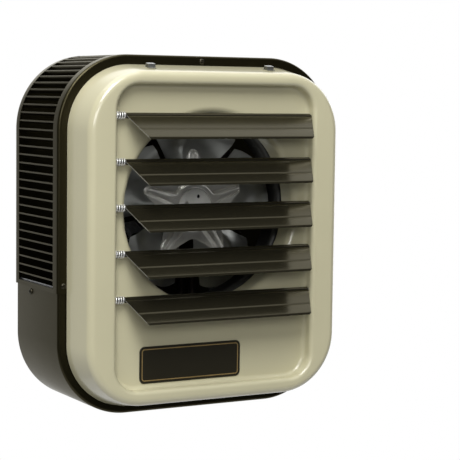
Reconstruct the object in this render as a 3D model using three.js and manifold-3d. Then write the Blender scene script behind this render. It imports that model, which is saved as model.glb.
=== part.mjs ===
// Suspended electric fan heater: a louvred steel cabinet with a drawn front pan, five adjustable outlet
// louvres held by springs, a five-blade fan on a riveted spider, finned elements and a wiring compartment.
// Millimetres, +Z up. The outlet faces -Y. The origin is the middle of the cabinet's flat top, which hangs.
import * as THREE from 'three';
import * as BufferGeometryUtils from 'three/addons/utils/BufferGeometryUtils.js';
import Module from 'manifold-3d';

const wasm = await Module();
wasm.setup();

// ---- driving dimensions -----------------------------------------------------------------------------
const GAP = 0.3; // clearance between pieces that touch
const SHEET = 1.2; // cabinet steel, 18 gauge

const CABINET = { width: 355.6, height: 406.4, depth: 124, corner: 85.7, bend: 3, lip: 18 };
const SEAM_Z = -265.7; // where the louvred wrapper ends and the lower cover begins
const COVER_INSET = SHEET + GAP; // the lower cover tucks inside the wrapper
const MIDDLE_Z = -CABINET.height / 2;
const FRONT_Y = -CABINET.depth / 2;
const REAR_Y = CABINET.depth / 2;
const PANEL_Y = REAR_Y - 2 * SHEET - COVER_INSET - GAP; // front of the rear panel

const INTAKE = { pitch: 9.79, open: 7.6, fromY: -49, toY: 51, finDepth: 5.2, finAngle: 75, finThick: 1.1 };

const PAN = { halfWidth: 166.7, halfHeight: 192.1, corner: 75, forward: 45, draft: 10, nose: 10.5 };
const RECESS = { halfWidth: 126, halfHeight: 170.2, corner: 28, depth: 15, lipRadius: 5, floorRadius: 5 };
const OUTLET = { radius: 111, z: -173.2, lipRadius: 5, collarDepth: 26 };

const LOUVRE = { count: 5, pitch: 50.8, middleZ: -169.3, y: -99, left: -113, right: 124, chord: 39 };
const LOUVRE_SHEET = 0.8;
const LOUVRE_REST = 50.6; // degrees forward of hanging straight down
const HEM = { radius: 2.9, cutLeft: 16.7, cutRight: 13.8 }; // the rolled hem, and how far the ends taper
const PIN = { radius: 2, hole: 2.3, headRadius: 3.4, head: 2 };
const SPRING = { radius: 3.05, wire: 0.6, turns: 4.5 };

const FAN = { frontY: -52, hubRadius: 20.6, armRadius: 64, bladeTip: 102, blades: 5, seat: 8.9, sheet: 1.1 };
const PRESSING = { face: 1.6, hub: 28.5, tip: 60, tipRadius: 4.2, fillet: 3.5, rootHalf: 6.5 }; // raised star
const FLANGE = { face: 6.6, tip: 54, tipRadius: 13, archAt: 52.7, archRadius: 14 }; // the star's flat edge
const SHROUD = { radius: 106, y: -59, rearY: -28, flare: 7 };
const MOTOR = { radius: 42, frontY: -12, rearY: 38, shaft: 4 };
const ELEMENT = { radius: 84, tube: 4, fin: 10.5, finThick: 0.9, fins: 17, finFrom: 62, terminalX: 22 };
const STRAP_X = 66;
const ELEMENT_Y = [-4, 24];
const SHELF = { z: -291, flange: 32 };

const PLATE = { width: 129.5, height: 42, corner: 4, thick: 0.7, x: -26.5, z: -347 };
const CLIP = { x: 76.5, y: -84, width: 9 };
const HANGER = { x: 63.5, hole: 5.2 };
const BAND_SCREW = { topZ: -6.5, x: 170.4, sideZ: -257 };
const SIDE_SCREW = { y: 17, z: -271.5 };
const DISH = { radius: 86, rise: 2.5 };
const CHANNEL = { x: 141, halfWidth: 8, depth: 2, bottom: -250, top: -60 };
const MOTOR_BOLT_RADIUS = 56;

// ---- materials --------------------------------------------------------------------------------------
const finish = (color, roughness, metalness) =>
  new THREE.MeshStandardMaterial({ color, roughness, metalness });
const BRONZE_ENAMEL = [0x35312a, 0.42, 0.3];
const ALMOND_ENAMEL = [0xb5ae8e, 0.32, 0.05];
const BRONZE_GLOSS = [0x2c261d, 0.25, 0.35];
const BRIGHT_STEEL = [0xb9b9b4, 0.25, 0.95];
const FAN_ALUMINIUM = [0x9fa3a6, 0.35, 0.9];
const GALVANISED = [0x8d9194, 0.45, 0.85];
const MOTOR_BLACK = [0x1d1d1e, 0.5, 0.3];
const ELEMENT_STEEL = [0x5b5146, 0.6, 0.7];
const MOULDED_BLACK = [0x18181a, 0.6, 0];
const PLATE_BROWN = [0x1d150d, 0.35, 0.1];

// ---- closed meshes and booleans ---------------------------------------------------------------------

/** A closed three.js geometry as a solid that can be cut and joined. */
function solid(geometry) {
  const bare = geometry.clone();
  bare.deleteAttribute('normal');
  bare.deleteAttribute('uv');
  const merged = BufferGeometryUtils.mergeVertices(bare, 1e-4);
  return new wasm.Manifold(
    new wasm.Mesh({
      numProp: 3,
      vertProperties: new Float32Array(merged.attributes.position.array),
      triVerts: new Uint32Array(merged.index.array),
    }),
  );
}

/** A solid back as a three.js geometry. */
function geometryOf(body) {
  const { vertProperties, triVerts } = body.getMesh();
  const geometry = new THREE.BufferGeometry();
  geometry.setAttribute('position', new THREE.BufferAttribute(vertProperties, 3));
  geometry.setIndex(new THREE.BufferAttribute(triVerts, 1));
  geometry.computeVertexNormals();
  return geometry;
}

const join = (first, ...others) => others.reduce((sum, next) => sum.add(next), first);
const cut = (first, ...others) => others.reduce((rest, next) => rest.subtract(next), first);

/** One named piece in the scene graph. */
function piece(parent, name, body, [color, roughness, metalness]) {
  const mesh = new THREE.Mesh(geometryOf(body), finish(color, roughness, metalness));
  mesh.name = name;
  parent.add(mesh);
  return mesh;
}

// ---- profiles ---------------------------------------------------------------------------------------

/** A rectangle with round corners, centred on (x, y). */
function roundedRectangle(halfWidth, halfHeight, corner, x = 0, y = 0) {
  const shape = new THREE.Shape();
  const [left, right] = [x - halfWidth, x + halfWidth];
  const [bottom, top] = [y - halfHeight, y + halfHeight];
  shape.moveTo(right, bottom + corner);
  shape.lineTo(right, top - corner);
  shape.absarc(right - corner, top - corner, corner, 0, Math.PI / 2);
  shape.lineTo(left + corner, top);
  shape.absarc(left + corner, top - corner, corner, Math.PI / 2, Math.PI);
  shape.lineTo(left, bottom + corner);
  shape.absarc(left + corner, bottom + corner, corner, Math.PI, Math.PI * 1.5);
  shape.lineTo(right - corner, bottom);
  shape.absarc(right - corner, bottom + corner, corner, Math.PI * 1.5, Math.PI * 2);
  return shape;
}

const polygon = (points) => new THREE.Shape(points.map(([x, y]) => new THREE.Vector2(x, y)));

/** A strip of the given thickness that follows a bent centre line. */
function stripOutline(line, thickness) {
  const points = line.map(([x, y]) => new THREE.Vector2(x, y));
  const sides = [1, -1].map((sign) =>
    points.map((point, i) => {
      const before = points[Math.max(i - 1, 0)];
      const after = points[Math.min(i + 1, points.length - 1)];
      const along = after.clone().sub(before).normalize();
      return new THREE.Vector2(-along.y, along.x).multiplyScalar((sign * thickness) / 2).add(point);
    }),
  );
  return new THREE.Shape([...sides[0], ...sides[1].reverse()]);
}

/** Extrudes an outline drawn in (X, Z) from y0 to y1. */
function alongY(shape, y0, y1, { segments = 6, bevel = 0, bevelSegments = 2 } = {}) {
  const geometry = new THREE.ExtrudeGeometry(shape, {
    depth: y1 - y0 - 2 * bevel,
    curveSegments: segments,
    bevelEnabled: bevel > 0,
    bevelThickness: bevel,
    bevelSize: bevel,
    bevelOffset: -bevel,
    bevelSegments,
  });
  return solid(geometry.translate(0, 0, bevel).rotateX(Math.PI / 2).translate(0, y1, 0));
}

const YZ_TO_X = new THREE.Matrix4().set(0, 0, 1, 0, 1, 0, 0, 0, 0, 1, 0, 0, 0, 0, 0, 1);

/** Extrudes an outline drawn in (Y, Z) from x0 to x1. */
function alongX(shape, x0, x1, segments = 6) {
  const options = { depth: x1 - x0, curveSegments: segments, bevelEnabled: false };
  return solid(new THREE.ExtrudeGeometry(shape, options).translate(0, 0, x0).applyMatrix4(YZ_TO_X));
}

function block([x0, y0, z0], [x1, y1, z1]) {
  const geometry = new THREE.BoxGeometry(x1 - x0, y1 - y0, z1 - z0);
  return solid(geometry.translate((x0 + x1) / 2, (y0 + y1) / 2, (z0 + z1) / 2));
}

/** A round bar between two ends of one axis ('x', 'y' or 'z'), through the point [x, y, z]. */
function bar(axis, radius, from, to, [x, y, z], segments = 16) {
  const geometry = new THREE.CylinderGeometry(radius, radius, to - from, segments);
  const middle = (from + to) / 2;
  if (axis === 'x') geometry.rotateZ(-Math.PI / 2).translate(middle, y, z);
  if (axis === 'y') geometry.translate(x, middle, z);
  if (axis === 'z') geometry.rotateX(Math.PI / 2).translate(x, y, middle);
  return solid(geometry);
}

/** A piece turned about Y, from [radius, y] points that start and end on the axis or close on themselves. */
function turned(points, segments = 24, [x, y, z] = [0, 0, 0]) {
  const profile = points.map(([radius, along]) => new THREE.Vector2(radius, along));
  return solid(new THREE.LatheGeometry(profile, segments).translate(x, y, z));
}

/** Joins rings of equal length into one skin: closed on itself, or with flat ends. */
function skin(rings, closed) {
  const size = rings[0].length;
  const positions = rings.flat().flatMap((point) => point.toArray());
  const index = [];
  const bands = closed ? rings.length : rings.length - 1;
  for (let i = 0; i < bands; i += 1) {
    const here = i * size;
    const next = ((i + 1) % rings.length) * size;
    for (let k = 0; k < size; k += 1) {
      const k2 = (k + 1) % size;
      index.push(here + k, next + k2, here + k2, here + k, next + k, next + k2);
    }
  }
  if (!closed) {
    const last = (rings.length - 1) * size;
    for (let k = 1; k < size - 1; k += 1) {
      index.push(0, k, k + 1, last, last + k + 1, last + k);
    }
  }
  const geometry = new THREE.BufferGeometry();
  geometry.setAttribute('position', new THREE.Float32BufferAttribute(positions, 3));
  geometry.setIndex(index);
  return geometry;
}

/** A round tube through a list of points, carried along without twist, with one radius or one a point. */
function tube(points, radius, sides) {
  const radii = Array.isArray(radius) ? radius : points.map(() => radius);
  const tangents = points.map((point, i) =>
    points[Math.min(i + 1, points.length - 1)].clone().sub(points[Math.max(i - 1, 0)]).normalize(),
  );
  const across = new THREE.Vector3(0.3, 0.5, 0.8).cross(tangents[0]).normalize();
  const rings = points.map((point, i) => {
    across.addScaledVector(tangents[i], -across.dot(tangents[i])).normalize();
    const up = tangents[i].clone().cross(across);
    return Array.from({ length: sides }, (_, k) => {
      const angle = (2 * Math.PI * k) / sides;
      return point
        .clone()
        .addScaledVector(across, radii[i] * Math.cos(angle))
        .addScaledVector(up, radii[i] * Math.sin(angle));
    });
  });
  return solid(skin(rings.map((ring) => ring.reverse()), false));
}

const rad = THREE.MathUtils.degToRad;
const MOTOR_BOLTS = [45, 135, 225, 315].map((angle) => [
  MOTOR_BOLT_RADIUS * Math.cos(rad(angle)),
  OUTLET.z + MOTOR_BOLT_RADIUS * Math.sin(rad(angle)),
]);

// ---- cabinet: louvred wrapper, lower cover, rear panel and shelf ------------------------------------

/** The cabinet as a hollow shell with a lip round its front and its rear, inset all round by one amount. */
function cabinetShell(inset, cornerSegments) {
  const outline = (extra) =>
    roundedRectangle(
      CABINET.width / 2 - inset - extra,
      CABINET.height / 2 - inset - extra,
      CABINET.corner - inset - extra,
      0,
      MIDDLE_Z,
    );
  const options = { segments: cornerSegments, bevel: CABINET.bend };
  const outside = alongY(outline(0), FRONT_Y + inset, REAR_Y - inset, options);
  const inside = alongY(outline(SHEET), FRONT_Y + inset + SHEET, REAR_Y - inset - SHEET, {
    segments: cornerSegments,
    bevel: CABINET.bend - SHEET,
    bevelSegments: 1,
  });
  const window = alongY(outline(CABINET.lip - inset), FRONT_Y - 1, REAR_Y + 1, { segments: cornerSegments });
  return cut(outside, inside, window);
}

/** Everything above or below one height, as a cutting block. */
const slab = (z0, z1) => block([-200, -100, z0], [200, 100, z1]);

/** Turns an outline drawn in (outward, upward) onto the cabinet's skin and extrudes it along the slot. */
function onSkin(points, station, y0, y1) {
  const turn = (x, y) => [
    station.x + x * Math.cos(station.angle) - y * Math.sin(station.angle),
    station.z + x * Math.sin(station.angle) + y * Math.cos(station.angle),
  ];
  return alongY(polygon(points.map(([out, up]) => turn(out, up * station.side))), y0, y1);
}

/** Places for the intake slots: down both straight sides and round both top corners. */
function intakeStations() {
  const halfWidth = CABINET.width / 2;
  const cornerZ = -CABINET.corner;
  const cornerX = halfWidth - CABINET.corner;
  const straight = Math.floor((cornerZ - SEAM_Z) / INTAKE.pitch);
  const curved = 14;
  const stations = [];
  for (const side of [1, -1]) {
    for (let i = 0; i < straight; i += 1) {
      const z = cornerZ - (i + 0.5) * INTAKE.pitch;
      stations.push({ side, x: side * halfWidth, z, angle: side > 0 ? 0 : Math.PI });
    }
    for (let i = 0; i < curved; i += 1) {
      const step = ((i + 0.5) / curved) * (Math.PI / 2);
      const angle = side > 0 ? step : Math.PI - step;
      const reach = CABINET.corner * Math.cos(Math.PI / 4 / curved);
      const x = side * cornerX + reach * Math.cos(angle);
      stations.push({ side, x, z: cornerZ + reach * Math.sin(angle), angle });
    }
  }
  return stations;
}

/** The slot's opening through the skin. */
function intakeSlot(station) {
  const half = INTAKE.open / 2;
  return onSkin([[-4, -half], [2, -half], [2, half], [-4, half]], station, INTAKE.fromY, INTAKE.toY);
}

/** The strip lanced from the slot and folded inward from its upper edge. */
function intakeFin(station) {
  const { finDepth, finAngle, finThick, open, fromY, toY } = INTAKE;
  const [out, up] = [-SHEET + 0.3, open / 2 + 0.3];
  const [reachIn, drop] = [finDepth * Math.sin(rad(finAngle)), finDepth * Math.cos(rad(finAngle))];
  const outline = [
    [out, up + finThick],
    [out - reachIn, up + finThick - drop],
    [out - reachIn, up - drop],
    [out, up],
  ];
  return onSkin(outline, station, fromY + 0.6, toY - 0.6);
}

function upperWrapper() {
  const stations = intakeStations();
  const shell = cut(cabinetShell(0, 7), slab(-500, SEAM_Z));
  const slotted = cut(shell, ...stations.map(intakeSlot));
  const hangingHoles = [1, -1].map((side) => bar('z', HANGER.hole, -5, 5, [side * HANGER.x, 0, 0]));
  const screwHoles = [
    bar('y', 2.2, FRONT_Y - 5, FRONT_Y + 5, [0, 0, BAND_SCREW.topZ]),
    bar('y', 2.2, FRONT_Y - 5, FRONT_Y + 5, [-BAND_SCREW.x, 0, BAND_SCREW.sideZ]),
    bar('y', 2.2, FRONT_Y - 5, FRONT_Y + 5, [BAND_SCREW.x, 0, BAND_SCREW.sideZ]),
  ];
  return cut(join(slotted, ...stations.map(intakeFin)), ...hangingHoles, ...screwHoles);
}

function lowerCover() {
  const top = SEAM_Z + 2.4;
  const shell = cut(cabinetShell(COVER_INSET, 4), slab(top, 10));
  const holes = [1, -1].map((side) => {
    const edge = (side * CABINET.width) / 2;
    return bar('x', 2.2, edge - 6, edge + 6, [0, SIDE_SCREW.y, SIDE_SCREW.z]);
  });
  return cut(shell, ...holes);
}

/** A flat panel inside the rear lip, with a dished ring round the motor and a channel near each side. */
function rearPanel() {
  const margin = SHEET + COVER_INSET + CABINET.bend - SHEET + 0.8;
  const outline = roundedRectangle(
    CABINET.width / 2 - margin,
    CABINET.height / 2 - margin,
    CABINET.corner - margin,
    0,
    MIDDLE_Z,
  );
  const sheet = alongY(outline, PANEL_Y, PANEL_Y + SHEET, { segments: 5 });
  const place = [0, PANEL_Y, OUTLET.z];
  const { radius, rise } = DISH;
  const top = SHEET + rise;
  const raised = turned([[0, 0], [radius, 0], [radius, SHEET], [radius - rise, top], [0, top]], 24, place);
  const under = radius - SHEET;
  const hollow = turned([[0, -5], [under, -5], [under, 0], [under - rise, rise], [0, rise]], 24, place);
  const { x, halfWidth, depth, bottom, top: channelTop } = CHANNEL;
  const channels = [1, -1].map((side) => [
    block([side * x - halfWidth, PANEL_Y - depth, bottom], [side * x + halfWidth, PANEL_Y + 0.5, channelTop]),
    block(
      [side * x - halfWidth + SHEET, PANEL_Y + SHEET - depth, bottom + SHEET],
      [side * x + halfWidth - SHEET, PANEL_Y + 5, channelTop - SHEET],
    ),
  ]);
  const ribs = channels.map(([outside]) => outside);
  const troughs = channels.map(([, inside]) => inside);
  const dished = cut(join(sheet, raised, ...ribs), hollow, ...troughs);
  const holes = MOTOR_BOLTS.map(([x, z]) => bar('y', 2.7, PANEL_Y - 5, PANEL_Y + 12, [x, 0, z], 10));
  return cut(dished, ...holes);
}

/** The shelf between the hot air side and the wiring, with flanges that the lower cover screws to. */
function dividerShelf() {
  const half = CABINET.width / 2 - COVER_INSET - SHEET - GAP;
  const [y0, y1] = [FRONT_Y + 6, REAR_Y - 8];
  const outline = [
    [-half, SHELF.z + SHELF.flange],
    [-half, SHELF.z],
    [half, SHELF.z],
    [half, SHELF.z + SHELF.flange],
    [half - SHEET, SHELF.z + SHELF.flange],
    [half - SHEET, SHELF.z + SHEET],
    [-half + SHEET, SHELF.z + SHEET],
    [-half + SHEET, SHELF.z + SHELF.flange],
  ];
  const terminals = ELEMENT_Y.flatMap((y) =>
    [1, -1].map((side) => {
      const place = [side * ELEMENT.terminalX, y, 0];
      return bar('z', ELEMENT.tube + 2, SHELF.z - 5, SHELF.z + 5, place, 12);
    }),
  );
  const wireWay = bar('z', 8, SHELF.z - 5, SHELF.z + 5, [-70, 20, 0], 12);
  const screwHoles = [1, -1].map((side) =>
    bar('x', 2.2, side * half - 5, side * half + 5, [0, SIDE_SCREW.y, SIDE_SCREW.z], 12),
  );
  return cut(alongY(polygon(outline), y0, y1), ...terminals, wireWay, ...screwHoles);
}

// ---- front pan --------------------------------------------------------------------------------------

/** Points of a round bend in (inward, y), each with the heading of the sheet there, in degrees. */
function bend(outline, centreQ, centreY, radius, fromHeading, toHeading, steps) {
  const turning = Math.sign(toHeading - fromHeading);
  return Array.from({ length: steps + 1 }, (_, i) => {
    const heading = THREE.MathUtils.lerp(fromHeading, toHeading, i / steps);
    const across = rad(heading - 90 * turning);
    const [q, y] = [centreQ + radius * Math.cos(across), centreY + radius * Math.sin(across)];
    return { outline, q, y, heading };
  });
}

/** The pan's section from its rim to the outlet collar: q runs inward from the pan's outline. */
function panSection() {
  const base = FRONT_Y - GAP - 0.3;
  const front = FRONT_Y - PAN.forward;
  const floor = front + RECESS.depth;
  const { lipRadius, floorRadius } = RECESS;
  const edge = PAN.halfWidth - RECESS.halfWidth;
  const draft = rad(PAN.draft);
  const wall = base - (front + PAN.nose) + PAN.nose * Math.sin(draft);
  const noseQ = PAN.nose * Math.cos(draft) + Math.tan(draft) * wall;
  const outletQ = OUTLET.radius;
  return [
    { outline: 'pan', q: 0, y: base, heading: PAN.draft - 90 },
    ...bend('pan', noseQ, front + PAN.nose, PAN.nose, PAN.draft - 90, 0, 3),
    ...bend('recess', edge - lipRadius, front + lipRadius, lipRadius, 0, 90, 2),
    ...bend('recess', edge + floorRadius, floor - floorRadius, floorRadius, 90, 0, 2),
    ...bend('outlet', outletQ - OUTLET.lipRadius, floor + OUTLET.lipRadius, OUTLET.lipRadius, 0, 90, 2),
    { outline: 'outlet', q: outletQ + 1, y: floor + OUTLET.collarDepth, heading: 90 },
  ];
}

/** One ring of the pan at inward distance q: round-cornered outside, circular at the outlet. */
function panRing({ outline, q }, y) {
  const edge = PAN.halfWidth - RECESS.halfWidth;
  const sizes = {
    pan: [PAN.halfWidth - q, PAN.halfHeight - q, PAN.corner - q],
    recess: [RECESS.halfWidth + edge - q, RECESS.halfHeight + edge - q, RECESS.corner + edge - q],
  };
  const floorSize = [RECESS.halfWidth, RECESS.halfHeight, RECESS.corner];
  const outer = roundedRing(...(sizes[outline] ?? floorSize));
  const ring = outer.map(([x, z]) => new THREE.Vector3(x, y, MIDDLE_Z + z));
  if (outline !== 'outlet') return ring;
  const radius = 2 * OUTLET.radius - q;
  return ring.map((point) => {
    const angle = Math.atan2(point.z - OUTLET.z, point.x);
    return new THREE.Vector3(radius * Math.cos(angle), y, OUTLET.z + radius * Math.sin(angle));
  });
}

const RING = { corner: 6, side: 4 }; // steps to each corner and each side

/** Evenly indexed points of a round-cornered rectangle. */
function roundedRing(halfWidth, halfHeight, corner) {
  const centres = [[1, 1], [-1, 1], [-1, -1], [1, -1]];
  const points = [];
  centres.forEach(([sx, sz], c) => {
    for (let i = 0; i <= RING.corner; i += 1) {
      const angle = (c + i / RING.corner) * (Math.PI / 2);
      const x = sx * (halfWidth - corner) + corner * Math.cos(angle);
      points.push([x, sz * (halfHeight - corner) + corner * Math.sin(angle)]);
    }
    const [fromX, fromZ] = points.at(-1);
    const [nx, nz] = centres[(c + 1) % 4];
    const next = (c + 1) * (Math.PI / 2);
    const toX = nx * (halfWidth - corner) + corner * Math.cos(next);
    const toZ = nz * (halfHeight - corner) + corner * Math.sin(next);
    for (let i = 1; i < RING.side; i += 1) {
      const t = i / RING.side;
      points.push([THREE.MathUtils.lerp(fromX, toX, t), THREE.MathUtils.lerp(fromZ, toZ, t)]);
    }
  });
  return points;
}

function frontPan() {
  const section = panSection();
  const face = section.map((station) => panRing(station, station.y));
  const back = section.map((station) => {
    const heading = rad(station.heading);
    const behind = { outline: station.outline, q: station.q - SHEET * Math.sin(heading) };
    return panRing(behind, station.y + SHEET * Math.cos(heading));
  });
  const shell = solid(skin([...back, ...face.reverse()], true));
  const pinHoles = louvreHeights().flatMap((z) =>
    [1, -1].map((side) => {
      const wall = side * (RECESS.halfWidth + SHEET / 2);
      return bar('x', PIN.hole, wall - 4, wall + 4, [0, LOUVRE.y, z], 8);
    }),
  );
  return cut(shell, ...pinHoles);
}

// ---- outlet louvres ---------------------------------------------------------------------------------

function louvreHeights() {
  return Array.from({ length: LOUVRE.count }, (_, i) => LOUVRE.middleZ + LOUVRE.pitch * (2 - i));
}

/** Section in (Y, Z) of a blade that hangs straight down from its rolled hem. */
function louvreSection() {
  const hem = Array.from({ length: 11 }, (_, i) => {
    const angle = rad(225 - i * 30);
    return [HEM.radius * Math.cos(angle), HEM.radius * Math.sin(angle)];
  });
  const chord = LOUVRE.chord;
  const face = -HEM.radius;
  return [
    ...hem.reverse(),
    [face, -HEM.radius - 2],
    [face, -chord * 0.58],
    [face - 1.8, -chord * 0.61],
    [face - 1.8, -chord * 0.64],
    [face - 0.3, -chord * 0.67],
    [face - 0.3, -chord + 1.6],
    [face + 1.4, -chord],
  ];
}

/** A roll-formed blade: hem, stiffening rib and returned edge, with both ends cut back to a trapezoid. */
function louvreBlade() {
  const strip = alongX(stripOutline(louvreSection(), LOUVRE_SHEET), LOUVRE.left, LOUVRE.right);
  const start = -HEM.radius - 1.2;
  const low = -LOUVRE.chord - 2;
  const wedge = (x, inward, cutBack) => {
    const taper = (inward * cutBack * (start - low)) / (LOUVRE.chord + start);
    return alongY(polygon([[x - inward, start], [x, start], [x + taper, low], [x - inward, low]]), -12, 12);
  };
  return cut(strip, wedge(LOUVRE.left, 1, HEM.cutLeft), wedge(LOUVRE.right, -1, HEM.cutRight));
}

/** The pin that the hem turns on, upset behind both walls of the recess. */
function louvrePin() {
  const reach = RECESS.halfWidth + SHEET + GAP;
  const outline = [
    [0, -reach - PIN.head],
    [PIN.headRadius - 0.6, -reach - PIN.head],
    [PIN.headRadius, -reach - PIN.head + 0.6],
    [PIN.headRadius, -reach],
    [PIN.radius, -reach],
    [PIN.radius, reach],
    [PIN.headRadius, reach],
    [PIN.headRadius, reach + PIN.head - 0.6],
    [PIN.headRadius - 0.6, reach + PIN.head],
    [0, reach + PIN.head],
  ];
  const shape = outline.map(([radius, along]) => new THREE.Vector2(radius, along));
  return solid(new THREE.LatheGeometry(shape, 8).rotateZ(-Math.PI / 2));
}

/** Centre line of the friction spring: straight ends, and a helix round the pin between them. */
function springLine() {
  const from = -RECESS.halfWidth + GAP;
  const to = LOUVRE.left - GAP;
  const end = 2 * SPRING.wire;
  const steps = SPRING.turns * 8;
  const line = [new THREE.Vector3(from, 0, -SPRING.radius)];
  for (let i = 0; i <= steps; i += 1) {
    const angle = (2 * Math.PI * i) / 8;
    const x = THREE.MathUtils.lerp(from + end, to - end, i / steps);
    line.push(new THREE.Vector3(x, -SPRING.radius * Math.sin(angle), -SPRING.radius * Math.cos(angle)));
  }
  const last = line.at(-1);
  line.push(new THREE.Vector3(to, last.y, last.z));
  return line;
}

/** Least free distance between turns of the spring that are at least half a turn apart. */
function leastSelfGap(line) {
  let least = Infinity;
  for (let i = 0; i < line.length; i += 1) {
    for (let k = i + 4; k < line.length; k += 1) {
      least = Math.min(least, line[i].distanceTo(line[k]));
    }
  }
  return least - 2 * SPRING.wire;
}

// ---- fan --------------------------------------------------------------------------------------------

/** Points of an arc in the plane, between two bearings in degrees. */
function arcPoints([x, y], radius, from, to, steps) {
  return Array.from({ length: steps + 1 }, (_, i) => {
    const angle = rad(THREE.MathUtils.lerp(from, to, i / steps));
    return [x + radius * Math.cos(angle), y + radius * Math.sin(angle)];
  });
}

/** A star of arms with round tips; beside each arm a hollow round corner touches the tip's circle. */
function starOutline(tip, tipRadius, hollow, hollowBearing, hollowRadius) {
  const centre = [hollow * Math.cos(hollowBearing), hollow * Math.sin(hollowBearing)];
  const [gapX, gapY] = [centre[0] - tip, centre[1]];
  const length = Math.hypot(gapX, gapY);
  const lean = Math.acos((tipRadius + hollowRadius) / length);
  const touch = THREE.MathUtils.radToDeg(Math.atan2(gapY, gapX) - lean);
  const end = THREE.MathUtils.radToDeg(hollowBearing) - 180;
  const half = [
    ...arcPoints([tip, 0], tipRadius, 0, touch, 3),
    ...arcPoints(centre, hollowRadius, touch - 180, end, 3),
  ];
  const arm = [...half.slice(1).reverse().map(([x, y]) => [x, -y]), ...half];
  const turns = Array.from({ length: FAN.blades }, (_, i) => rad(90 + (360 / FAN.blades) * i));
  const turnedBy = ([x, y], turn) => [
    x * Math.cos(turn) - y * Math.sin(turn),
    x * Math.sin(turn) + y * Math.cos(turn),
  ];
  return polygon(turns.flatMap((turn) => arm.map((point) => turnedBy(point, turn))));
}

/** Stamped spider: a star-shaped pressing stands forward round the hub and along each arm of a flat star. */
function fanSpider() {
  const rear = FLANGE.face + SHEET;
  const flange = alongY(
    starOutline(FLANGE.tip, FLANGE.tipRadius, FLANGE.archAt, Math.PI / FAN.blades, FLANGE.archRadius),
    FLANGE.face,
    rear,
  );
  const pressed = (inset) => {
    const hollow = PRESSING.hub + PRESSING.fillet;
    const bearing = Math.asin((PRESSING.rootHalf + PRESSING.fillet) / hollow);
    return starOutline(PRESSING.tip, PRESSING.tipRadius - inset, hollow, bearing, PRESSING.fillet + inset);
  };
  const middle = bar('y', PRESSING.hub, PRESSING.face, rear, [0, 0, 0], 30);
  const under = bar('y', PRESSING.hub - SHEET, PRESSING.face + SHEET, rear + 5, [0, 0, 0], 30);
  const raised = alongY(pressed(0), PRESSING.face, rear);
  const trough = alongY(pressed(SHEET), PRESSING.face + SHEET, rear + 5);
  const well = bar('y', FAN.hubRadius + 1.2, -5, 20, [0, 0, 0], 24);
  return cut(join(flange, raised, middle), under, trough, well);
}

/** One cambered, pitched blade: a sheet over (root to tip, leading to trailing edge). */
function fanBlade(index) {
  const [nu, nv] = [7, 6];
  const middle = rad(90 + (360 / FAN.blades) * index);
  const surface = (u, v, side) => {
    const radius = THREE.MathUtils.lerp(34, FAN.bladeTip, u);
    const span = rad(THREE.MathUtils.lerp(46, 60, u));
    const across = 2 * v - 1;
    const corner = 1 - 0.1 * u ** 6 * Math.abs(across) ** 3;
    const angle = middle + (span / 2) * across;
    const free = THREE.MathUtils.smoothstep(radius, FAN.armRadius - 4, FAN.bladeTip - 14);
    const seat = THREE.MathUtils.lerp(0.55, 0, free);
    const wing = Math.max(0, Math.abs(across) - seat) / (1 - seat);
    const depth = FAN.seat + (across > 0 ? 19 * wing : -13 * wing * free) + side * FAN.sheet * 0.5;
    return new THREE.Vector3(radius * corner * Math.cos(angle), depth, radius * corner * Math.sin(angle));
  };
  const rings = [];
  for (let i = 0; i <= nu; i += 1) {
    const front = Array.from({ length: nv + 1 }, (_, k) => surface(i / nu, k / nv, -1));
    const rear = Array.from({ length: nv + 1 }, (_, k) => surface(i / nu, 1 - k / nv, 1));
    rings.push([...front, ...rear]);
  }
  return solid(sheetSkin(rings));
}

/** A skin over open-book rings, whose flat ends are closed across the sheet's thickness. */
function sheetSkin(rings) {
  const geometry = skin(rings, false);
  const size = rings[0].length;
  const half = size / 2;
  const index = Array.from(geometry.index.array).slice(0, -(size - 2) * 6);
  for (const [base, flip] of [[0, false], [(rings.length - 1) * size, true]]) {
    for (let k = 0; k < half - 1; k += 1) {
      const [a, b, c, d] = [base + k, base + k + 1, base + size - 2 - k, base + size - 1 - k];
      index.push(...(flip ? [a, c, b, a, d, c] : [a, b, c, a, c, d]));
    }
  }
  geometry.setIndex(index);
  return geometry;
}

// ---- motor, elements and controls -------------------------------------------------------------------

function motorBody() {
  const { radius, frontY, rearY } = MOTOR;
  const can = turned([
    [0, frontY + 1],
    [12, frontY],
    [16, frontY + 6],
    [radius - 6, frontY + 8],
    [radius, frontY + 14],
    [radius, rearY - 10],
    [radius - 5, rearY - 2],
    [0, rearY],
  ]);
  const through = bar('y', MOTOR.shaft + GAP, frontY - 5, frontY + 16, [0, 0, 0], 16);
  const slots = Array.from({ length: 8 }, (_, i) => {
    const angle = (Math.PI / 4) * (i + 0.5);
    const cutter = new THREE.BoxGeometry(8, 16, 3).translate(radius, (frontY + rearY) / 2, 0);
    return solid(cutter.rotateY(angle));
  });
  return cut(can, through, ...slots);
}

/** A hat-shaped stamping between the motor and the rear panel, with one foot for each bolt. */
function motorMount() {
  const rear = PANEL_Y + DISH.rise - GAP;
  const front = MOTOR.rearY + GAP;
  const arms = MOTOR_BOLTS.map(([x, z]) => {
    const angle = Math.atan2(z - OUTLET.z, x);
    const line = [[20, front + 0.8], [40, front + 0.8], [48, rear - 0.8], [63, rear - 0.8]];
    const outline = stripOutline(line, 1.6);
    const geometry = new THREE.ExtrudeGeometry(outline, { depth: 18, bevelEnabled: false });
    return solid(geometry.translate(0, 0, -9).rotateY(-angle));
  });
  const plate = bar('y', 30, front, front + 1.6, [0, 0, 0], 16);
  const holes = MOTOR_BOLTS.map(([x, z]) => bar('y', 2.7, rear - 5, rear + 5, [x, 0, z - OUTLET.z], 10));
  return cut(join(plate, ...arms), ...holes);
}

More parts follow.
